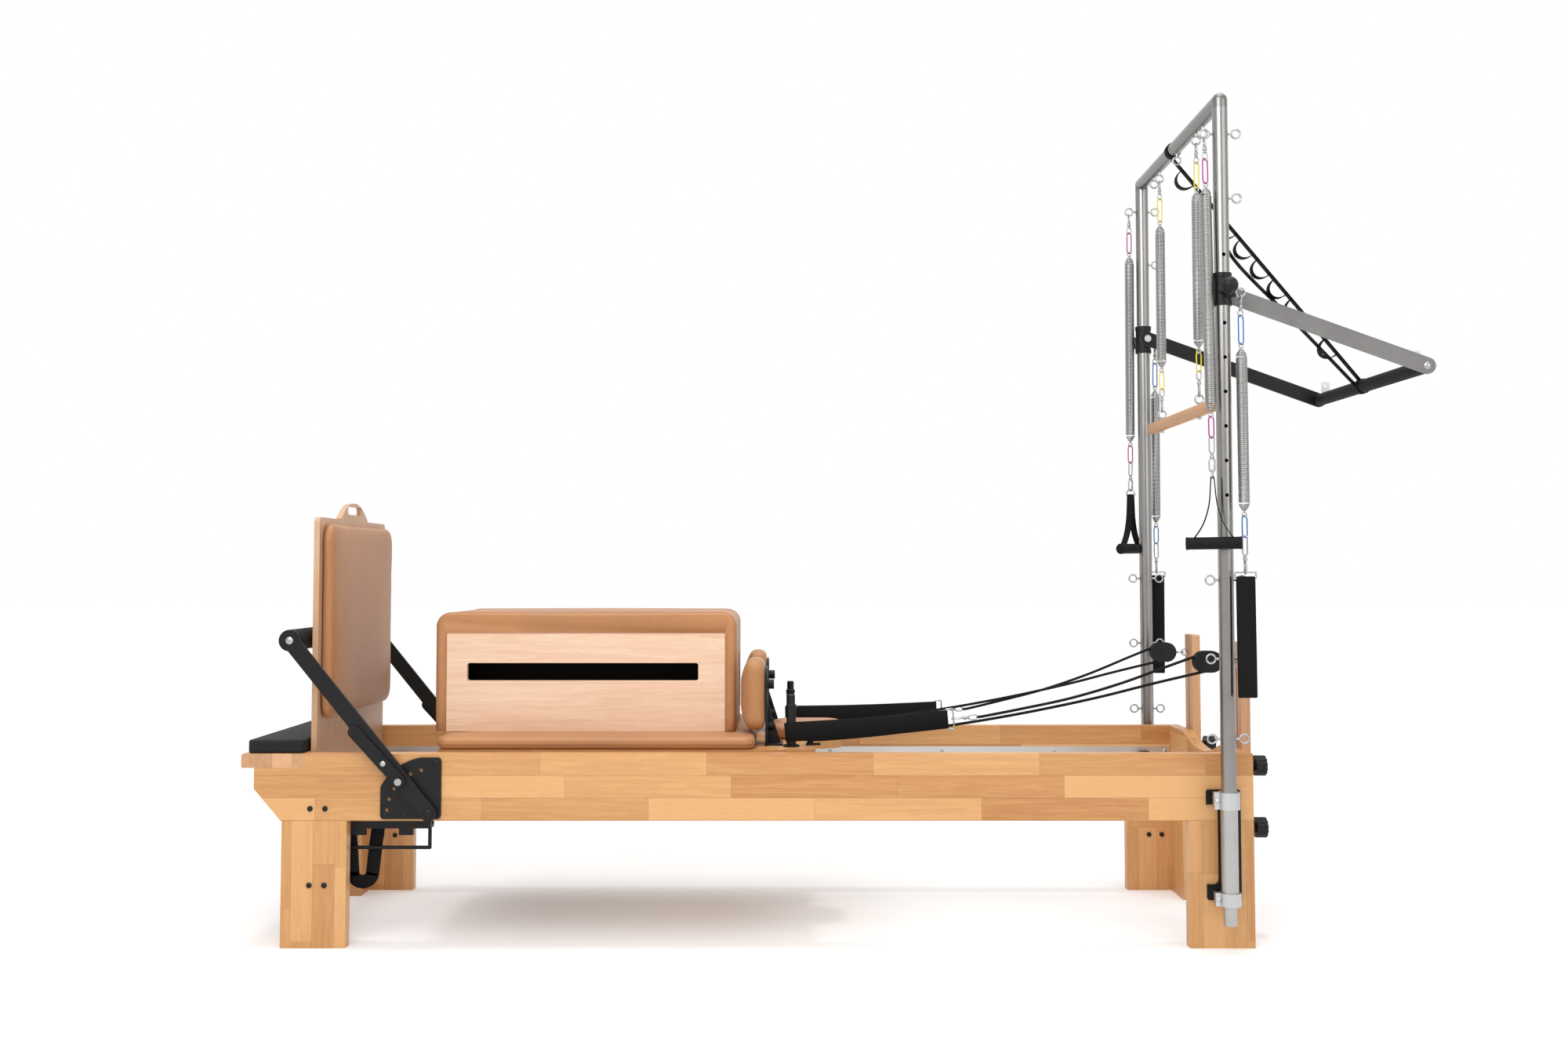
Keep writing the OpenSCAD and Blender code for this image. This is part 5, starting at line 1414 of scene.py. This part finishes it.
@dataclass
class Grips:
    """Foam grips of the footbar and the push bar."""

    palette: Palette

    def roll(self, name: str, node: str, body: str, radius: float, at: Vector) -> None:
        """A foam roll along Y with rounded ends.

        Args:
            name: Piece name.
            node: CAD node that it stands for.
            body: Body that carries it.
            radius: Outer radius.
            at: Middle of the roll.
        """
        lo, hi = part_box(node)
        half = (hi[1] - lo[1]) / 2
        e = 0.005
        core, flat = radius * 0.5, radius - e
        profile = [(core, -half), (flat, -half)]
        profile += [(flat + e * math.sin(a), -half + e - e * math.cos(a)) for a in np.linspace(0.2, 1.57, 5)]
        profile += [(radius, -half + half * 2 * k / 24) for k in range(1, 24)]
        profile += [(flat + e * math.cos(a), half - e + e * math.sin(a)) for a in np.linspace(0, 1.4, 5)]
        profile += [(flat, half), (core, half)]
        shape = Shape()
        shape.lathe(profile, at, Axis.Y)
        obj = shape.piece(name, body, self.palette.foam)
        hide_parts(node)

    def build(self) -> None:
        """Makes both grips."""
        arm, rise = 0.532, math.radians(50.7)
        at = PLAN.at(0.4235 - arm * math.cos(rise), 0, 0.3222 + arm * math.sin(rise))
        self.roll("footbar_foam", "footbar_grip", "footbar", 0.026, at)
        x, z = PLAN.push_hold
        self.roll("push_bar_foam", "push_grip", "push_bar", 0.0175, PLAN.at(x, 0, z))


@dataclass
class Hanging:
    """Springs that hang on the tower, with the loops, straps and bar that they carry."""

    palette: Palette
    kit: SpringKit

    def spring_set(
        self, name: str, node: str, body: str, sizes: HungSet, place: Matrix, link_finish: Finish
    ) -> None:
        """One hanging spring in two pieces: its chain of hooks and links, and its closed winding.

        Args:
            name: Start of the piece names.
            node: CAD node that the pieces stand for.
            body: Body that carries them.
            sizes: The set's sizes.
            place: Place of the top of the wire that it hangs on.
            link_finish: Finish of the coated oval links.
        """
        shape, (low, high) = self.kit.hung(sizes)
        shape.placed(place)
        finishes = (self.palette.zinc, self.palette.spring, link_finish)
        chain = shape.piece(f"{name}_chain", body, *finishes)
        size = (SPRING.diameter, SPRING.wire, high - low)
        at = place @ Matrix.Translation((0, 0, low))
        coil = self.kit.winding(f"{name}_coil", body, at, size, self.palette.spring)
        stand_for(node, chain, coil)

    def hand_loop(self, name: str, place: Matrix, turn: float) -> None:
        """One hand loop: ring, webbing triangle and foam grip.

        Args:
            name: near or far.
            place: Place of the set's hanging wire top.
            turn: Turn about Z in degrees.
        """
        apex, grip, spread = -0.826, -0.981, 0.0565
        body = f"handle_set_{name}"
        ring = Shape()
        top = arc((0, apex + 0.005), 0.013, 0, 180, 13)
        ring.tube(turned(top + [(-0.013, apex), (0.013, apex)], 90), 0.002, 10, True)
        web = Shape()
        r = 0.0034
        legs = [(spread, grip), (spread * 0.8, grip + 0.012), (spread * 0.42, grip + 0.045)]
        legs += [(spread * 0.17, grip + 0.09), (0.0046, apex - 0.012)]
        loop = [(-x, z) for x, z in legs]
        loop += arc((0, apex), r, 180, 0, 9) + legs[::-1]
        web.band(smooth_path([(x, 0, z) for x, z in loop], 4), np.array([0, 1.0, 0]), 0.02, 0.0022)
        web.mark = 1
        profile = [(0.006, -0.0645), (0.0135, -0.0645), (0.0155, -0.0625), (0.0155, -0.0605)]
        profile += [(0.0145, -0.0585 + 0.117 * k / 12) for k in range(12)]
        profile += [(wide, -h) for wide, h in profile[4::-1]]
        web.lathe(profile, Vector((0, 0, grip)), Axis.X)
        spin = Matrix.Rotation(math.radians(turn), 4, "Z")
        ring.placed(place @ spin)
        web.placed(place @ spin)
        stand_for(
            f"hand_loop_{name}",
            ring.piece(f"hand_ring_{name}", body, self.palette.zinc),
            web.piece(f"hand_loop_web_{name}", body, self.palette.webbing, self.palette.foam),
        )

    def leg_strap(self, name: str, place: Matrix) -> None:
        """One leg strap: oblong ring and a long narrow loop of webbing.

        Args:
            name: near or far.
            place: Place of the set's hanging wire top.
        """
        z, w, length = -0.674, 0.054, 0.018
        ring = Shape()
        x = (w - 0.004) / 2
        high = z + length - 0.004
        ring.tube(oblong([(-x, z), (-x, high), (x, high), (x, z)], 0.04), 0.002, 10, True)
        web = Shape()
        r, drop = 0.0034, 0.2768
        down = [(-r - 0.0004 * math.sin(math.pi * t), z - drop * t) for t in np.linspace(0.08, 0.92, 10)]
        loop = arc((0, z), r, 0, 180, 9) + down + arc((0, z - drop), r, 180, 360, 9)
        loop += [(-y, height) for y, height in down[::-1]]
        path = np.array([(0, y, height) for y, height in loop])
        web.band(path, np.array([1.0, 0, 0]), 0.044, 0.0022, True)
        web.mark = 1
        for k in (-0.03, -0.036, -0.075, -0.081):
            line = [(0.019 * t, r + 0.0013, z + k) for t in np.linspace(-1, 1, 12)]
            web.tube(np.array(line), 0.0005, 5)
        ring.placed(place)
        web.placed(place)
        body = f"leg_set_{name}"
        stand_for(
            f"leg_strap_{name}",
            ring.piece(f"leg_ring_{name}", body, self.palette.zinc),
            web.piece(f"leg_strap_web_{name}", body, self.palette.webbing, self.palette.grey),
        )

    @staticmethod
    def leaning(at: Vector, degrees: float) -> Matrix:
        """Place of a set's hanging wire top, leaned about X."""
        lean = Matrix.Rotation(math.radians(degrees), 4, "X")
        return Matrix.Translation(at) @ lean @ Matrix.Translation((0, 0, PLAN.wire_top))

    def hand_place(self, side: int, lean: float) -> Matrix:
        """Place of a hand set on its post's upper eyebolt."""
        return self.leaning(PLAN.at(PLAN.tower_x - PLAN.eye_out, side * PLAN.tower_y, 1.955), side * lean)

    def leg_place(self, side: int) -> Matrix:
        """Place of a leg set on its collar's ring."""
        return self.leaning(PLAN.at(PLAN.tower_x + PLAN.eye_out, side * 0.414, 1.566), side * 0.9)

    def build(self) -> None:
        """Makes the three kinds of set."""
        p = self.palette
        for side, name, lean, turn in ((-1, "near", 2.16, -18.0), (1, "far", 1.15, 50.0)):
            hand, leg = self.hand_place(side, lean), self.leg_place(side)
            bar_top = PLAN.crossbar_z - PLAN.eye_out + PLAN.wire_top
            bar = Matrix.Translation(PLAN.at(PLAN.tower_x, side * 0.187, bar_top))
            long = HungSet(hook=0.062, top=-0.124, length=0.545, end=-0.8138, bow_turn=0, twist=turn / 2)
            short = HungSet(hook=0.056, top=-0.127, length=0.389, end=-0.6658, bow_turn=90)
            middle = HungSet(hook=0.056, top=-0.124, length=0.4, end=-0.6504, bow_turn=90)
            for start, node, body, sizes, place, finish in (
                ("hand_spring", f"handle_spring_{name}", f"handle_set_{name}", long, hand, p.purple),
                ("leg_coil", f"leg_spring_{name}", f"leg_set_{name}", short, leg, p.blue),
                ("bar_spring", "bar_springs", "roll_down_set", middle, bar, p.yellow),
            ):
                self.spring_set(f"{start}_{name}", node, body, sizes, place, finish)
            self.hand_loop(name, hand, turn)
            self.leg_strap(name, leg)


@dataclass
class Straps:
    """Safety strap, foot straps, storage loop and the ropes over the pulleys."""

    palette: Palette
    kit: SpringKit
    hook_x: float = 0.022 - 0.006 - 0.0036 - 0.0002
    hook_length: float = 0.066

    def safety(self) -> None:
        """The safety strap: bands, the looped strand and the plain one, each in two halves."""
        y = 0.04
        w, t = 0.025, 0.0024
        top = np.array([PLAN.tower_x - 0.002, 2.015])
        hold = np.array(PLAN.push_hold)
        end = hold + np.array([-0.008, 0.0181])
        run = end - top

        def line(points: Sequence[Points]) -> Points:
            """Row frame points of places in the strap's plane."""
            return np.array([PLAN.at(p[0], y, p[1]) for p in points])

        pieces = []
        for name, body, middle, radius in (
            ("top", "frame", (PLAN.tower_x, PLAN.crossbar_z), 0.0196),
            ("grip", "push_bar", tuple(hold), 0.0191),
        ):
            shape = Shape()
            shape.band(line(arc(middle, radius, 0, 360, 33)[:-1]), np.array([0, 1.0, 0]), w, t, True)
            pieces.append(shape.piece(f"safety_band_{name}", body, self.palette.webbing))
        split = 0.4875
        along = run / np.linalg.norm(run)
        normal = -np.array([-run[1], run[0]]) / np.linalg.norm(run)
        halves = (Shape(), Shape())

        def strand(points: Points, across: Points = np.array([0, 1.0, 0])) -> None:
            """Adds a strand, parted where it crosses the split plane.

            Args:
                points: X and Z along the strand.
                across: Direction of the strap's width.
            """
            share = (points - top) @ run / (run @ run)
            cut = next((i for i in range(1, len(points)) if share[i] > split), len(points))
            if cut in (1, len(points)):
                halves[int(share.mean() > split)].band(line(points), across, w, t)
                return
            part = (split - share[cut - 1]) / (share[cut] - share[cut - 1])
            at = points[cut - 1] + (points[cut] - points[cut - 1]) * part
            halves[0].band(line(np.vstack([points[:cut], at])), across, w, t)
            halves[1].band(line(np.vstack([at, points[cut:]])), across, w, t)

        strand(np.array([top + run * share for share in np.linspace(0, 1, 42)]))
        for share in (0.085, 0.31, 0.4, 0.49, 0.58, 0.67, 0.85):
            turn = np.linspace(0, math.pi, 17)
            bow = [0.026 * math.cos(a) * along + 0.036 * math.sin(a) ** 0.8 * normal for a in turn]
            strand(top + run * share + np.array(bow))
        low_b = top + run * 0.34 + np.array([-0.011, -0.062])
        low_c = hold + np.array([-0.0189, 0.004])
        bend = smooth_path([(*q, 0) for q in (top + run * 0.25, low_b, (low_b + low_c) / 2, low_c)], 12)
        face = math.radians(38)
        twist = -normal * math.sin(face)
        strand(bend[:, :2], np.array([twist[0], math.cos(face), twist[1]]))
        ends = [PLAN.at(p[0], y, p[1]) for p in (top, top + run * split, hold)]
        for k, (first, second) in enumerate((("frame", "slider"), ("slider", "push_bar"))):
            obj = halves[k].piece(f"safety_strands_{k}", "", self.palette.webbing)
            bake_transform(obj)
            pieces.append(obj)
        stand_for("safety_strap", *pieces)

    def foot_strap(self, side: int, name: str, length: float, rise: float) -> None:
        """A foot strap round its peg, its oblong ring and its snap.

        Args:
            side: -1 near, 1 far.
            name: near or far.
            length: From the peg to the ring.
            rise: Slope in degrees.
        """
        slope = Matrix.Rotation(math.radians(-rise), 4, "Y")
        x, y, z = PLAN.peg
        place = Matrix.Translation(PLAN.at(x, side * y, z)) @ slope
        r = 0.0115 + 0.0225 * math.tan(math.radians(rise)) + 0.0003 + 0.0012
        tip = 0.0034
        t = np.linspace(0.06, 0.94, 14)
        bow = np.sin(math.pi * t)
        leg = np.column_stack([length * t, r + (tip - r) * t + 0.004 * bow, -0.003 * bow])
        loop = [(a, b, 0) for a, b in arc((0, 0), r, 270, 90, 17)] + list(leg)
        loop += [(a, b, 0) for a, b in arc((length, 0), tip, 90, -90, 9)]
        loop += list(leg[::-1] * [1, -1, 1])
        web = Shape()
        web.band(np.array(loop), np.array([0, 0, 1.0]), 0.045, 0.0024, True)
        web.placed(place)
        metal = Shape()
        near, far, half = length, length + 0.018, 0.027 - 0.002
        corners = [(near, -half), (far, -half), (far, half), (near, half)]
        metal.tube(oblong(corners, 0.05), 0.002, 10, True)
        turn = Matrix.Rotation(math.radians(-90), 4, "Y")
        at = Matrix.Translation((length + self.hook_x, 0, 0))
        metal.take(self.kit.snap(self.hook_length, 90, 0).placed(at @ turn))
        metal.placed(place)
        for obj in (
            web.piece(f"foot_strap_web_{name}", "carriage", self.palette.webbing),
            metal.piece(f"foot_strap_ring_{name}", "carriage", self.palette.zinc),
        ):
            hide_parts("foot_straps")
            tuple(PLAN.at(x, 0, 0))
            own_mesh(obj)

    def storage(self) -> None:
        """The spare loop that hangs under the foot end."""
        w, y = 0.033, -0.2756
        path = [(0.2115, 0.290), (0.216, 0.23)]
        path += arc((0.245, 0.168), 0.0245, 180, 360, 15) + [(0.276, 0.23), (0.2835, 0.290)]
        shape = Shape()
        pts = smooth_path([PLAN.at(x, y, z) for x, z in path], 3)
        tangents = np.gradient(pts, axis=0)
        tangents /= np.linalg.norm(tangents, axis=1)[:, None]
        through = np.array([0, 1.0, 0])
        flat, half = w / 2 - 0.002, 0.0028
        rim = [(-w / 2, 0), (-flat, -half), (flat, -half), (w / 2, 0), (flat, half), (-flat, half)]
        shape.sweep(pts, np.array(rim), np.cross(tangents, through), through, False)
        obj = shape.piece("storage_loop_web", "frame", self.palette.webbing)
        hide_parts("storage_loop")

    def rope(self, side: int, name: str, length: float, rise: float) -> None:
        """One rope: its turn over the pulley, two short leads and two long runs.

        Args:
            side: -1 near, 1 far.
            name: near or far.
            length: The foot strap's length.
            rise: The foot strap's slope in degrees.
        """
        d = 0.007
        sheave = PLAN.at(2.328, side * 0.221, 0.675)
        bend = [sheave + Vector((a, 0, b)) for a, b in arc((0, 0), 0.0224, 105, -75, 25)]
        reach = length + self.hook_x + self.hook_length + 0.0003
        c, s = math.cos(math.radians(rise)), math.sin(math.radians(rise))
        x, y, z = PLAN.peg
        hook = [PLAN.at(x + (reach + m) * c, side * y, z + (reach + m) * s) for m in (0, 0.012)]
        cleat = [PLAN.at(1.3694 + m, side * 0.196, 0.4798) for m in (0.012, 0)]
        hook_sags = ((0.16, 8), (0.39, 17), (0.62, 16), (0.83, 7))
        cleat_sags = ((0.14, 7), (0.29, 17), (0.45, 22), (0.61, 22), (0.77, 17), (0.89, 10))
        down = Vector((0, 0, -0.001))
        first, last = bend[0], bend[-1]
        upper = [first + (hook[1] - first) * (1 - t) + down * g for t, g in hook_sags[::-1]]
        lower = [last + (cleat[0] - last) * t + down * g for t, g in cleat_sags]
        turn = Shape()
        turn.tube(np.array(bend), d / 2, 12)
        pieces = [turn.piece(f"rope_turn_{name}", f"riser_set_{name}", self.palette.cord)]
        split = PLAN.at(2.27, 0, 0).x
        for kind, points, keep in (
            ("strap", [first, *upper, *hook[::-1]], 0.013),
            ("cleat", [last, *lower, *cleat], 0.033),
        ):
            path = smooth_path(points, 6)
            cut = next(i for i, p in enumerate(path) if p[0] < split)
            share = (split - path[cut - 1][0]) / (path[cut][0] - path[cut - 1][0])
            at = path[cut - 1] + (path[cut] - path[cut - 1]) * share
            for part, half in (("lead", [path[:cut], at]), ("run", [at, path[cut:]])):
                shape = Shape()
                fine = smooth_path(np.vstack(half), 2)
                shape.tube(fine, d / 2, 12)
                carrier = "" if part == "lead" else "frame"
                obj = shape.piece(f"rope_{kind}_{part}_{name}", carrier, self.palette.cord)
                if part == "lead":
                    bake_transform(obj)
                else:
                    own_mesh(obj)
                pieces.append(obj)
        stand_for("ropes", *pieces)

    def build(self) -> None:
        """Makes the straps and the ropes."""
        self.safety()
        self.storage()
        for side, name, length, rise in ((-1, "near", 0.386, 4.6), (1, "far", 0.403, 1.8)):
            self.foot_strap(side, name, length, rise)
            self.rope(side, name, length, rise)


@dataclass
class DriveSprings:
    """The five drive springs under the deck, as closed windings."""

    palette: Palette
    kit: SpringKit

    def build(self) -> None:
        """Makes the springs with their straight ends."""
        x0, x1, z = 0.4082, 0.8396, 0.383
        count, apart, straight = 5, 0.1025, 0.024
        side = Matrix.Rotation(math.radians(90), 4, "Y")
        for k in range(count):
            # body: Body that carries it, or nothing for a piece that no body carries.
            y = (k - (count - 1) / 2) * apart
            at = Matrix.Translation(PLAN.at(x0 + straight, y, z)) @ side
            size = (0.026, 0.0026, x1 - x0 - 2 * straight)
            coil = self.kit.winding(f"drive_coil_{k}", "carriage", at, size, self.palette.spring)
            ends = Shape()
            for a, b in ((x0, x0 + 0.026), (x1 - 0.026, x1)):
                ends.tube(np.array([PLAN.at(a, y, z), PLAN.at(b, y, z)]), 0.003, 8)
            hooks = ends.piece(f"drive_hooks_{k}", "carriage", self.palette.spring)
            stand_for("carriage_springs", coil, hooks)


@dataclass
class Studio:
    """Pale floor, soft light, and the camera at the photograph's angle."""

    camera_at: Point = (1.27304, -3.97434, 0.90149)
    pitch: float = 0.0464
    lens: float = 34.44
    shift: float = -0.0137
    sky: float = 0.42
    glow: float = 0.17

    def build(self) -> None:
        """Makes the world, floor, lights and camera."""
        scene = bpy.context.scene
        scene.view_settings.view_transform = "Standard"
        world = bpy.data.worlds.new("studio")
        scene.world = world
        world.use_nodes = True
        sky = world.node_tree.nodes["Background"]
        strength = self.seen(world.node_tree) * (1.0 - self.sky) + self.sky
        plug(world.node_tree, sky, {"Color": (1.0, 1.0, 1.0), "Strength": strength})
        self.floor()
        self.light("key", (-0.9, -2.9, 3.0), 2.4, 66.0)
        self.light("fill", (2.6, -2.6, 2.0), 2.0, 20.0)
        for name, energy, angle in (("overhead", 0.4, 6.0), ("canopy", 1.3, 64.0)):
            data = bpy.data.lights.new(name, "SUN")
            data.energy = energy
            data.angle = math.radians(angle)
            added(name, data)
        data = bpy.data.cameras.new("photo_camera")
        data.lens = self.lens
        data.sensor_width = 36.0
        data.shift_y = self.shift
        data.clip_end = 100.0
        camera = added("photo_camera", data)
        camera.location = PLAN.at(*self.camera_at)
        camera.rotation_euler = (math.pi / 2 + self.pitch, 0.0, 0.0)
        scene.camera = camera

    @staticmethod
    def seen(tree: bpy.types.NodeTree) -> Field:
        """One where the background is looked at, straight, mirrored or through glass.

        Args:
            tree: Tree of the world or the floor.

        Returns:
            The mask.
        """
        ray = grow(tree, "ShaderNodeLightPath")
        kinds = ("Camera", "Glossy", "Transmission")
        camera, glossy, through = (Field(tree, ray.outputs[f"Is {kind} Ray"]) for kind in kinds)
        return camera | glossy | through

    def floor(self) -> None:
        """A wide pale floor."""
        size = 40.0
        corners = [(-size, -size, 0), (size, -size, 0), (size, size, 0), (-size, size, 0)]
        mesh = bpy.data.meshes.new("floor")
        mesh.from_pydata(corners, [], [(0, 1, 2, 3)])
        floor = added("floor", mesh)
        pad = Pad("studio_floor")
        Coat("studio_floor", (0.86, 0.86, 0.86), 0.9, 40.0, 0.0, 0.004).lay(pad)
        strength = self.seen(pad.tree) * self.glow
        glow = pad.node("ShaderNodeEmission", None, {"Color": (1.0, 1.0, 1.0), "Strength": strength})
        both = pad.node("ShaderNodeAddShader", None, {0: Field(pad.tree, pad.output), 1: pad.out(glow)})
        pad.output = both.outputs[0]
        pad.close()
        mesh.materials.append(pad.material)

    def light(self, name: str, at: Point, size: float, power: float) -> None:
        """One soft area light that looks at the part.

        Args:
            name: Light name.
            at: Its place in the row frame.
            size: Side of its square.
            power: Watts.
        """
        data = bpy.data.lights.new(name, "AREA")
        data.shape = "SQUARE"
        data.size = size
        data.energy = power
        lamp = added(name, data)
        lamp.location = at
        lamp.rotation_euler = (Vector((0, 0, 0.8)) - Vector(at)).to_track_quat("-Z", "Y").to_euler()


def main() -> None:
    """Builds the scene in order."""
    logging.basicConfig(level=logging.INFO, format="%(name)s: %(message)s")
    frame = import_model()
    LOG.info("frame has %d nodes", len(frame["nodes"]))
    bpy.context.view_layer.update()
    Studio().build()
    palette = Palette()
    kit = SpringKit()
    Straps(palette, kit).build()
    Timber(palette).build()
    Upholstery(palette).build()
    Grips(palette).build()
    Hanging(palette, kit).build()
    DriveSprings(palette, kit).build()


if __name__ == "__main__":
    main()
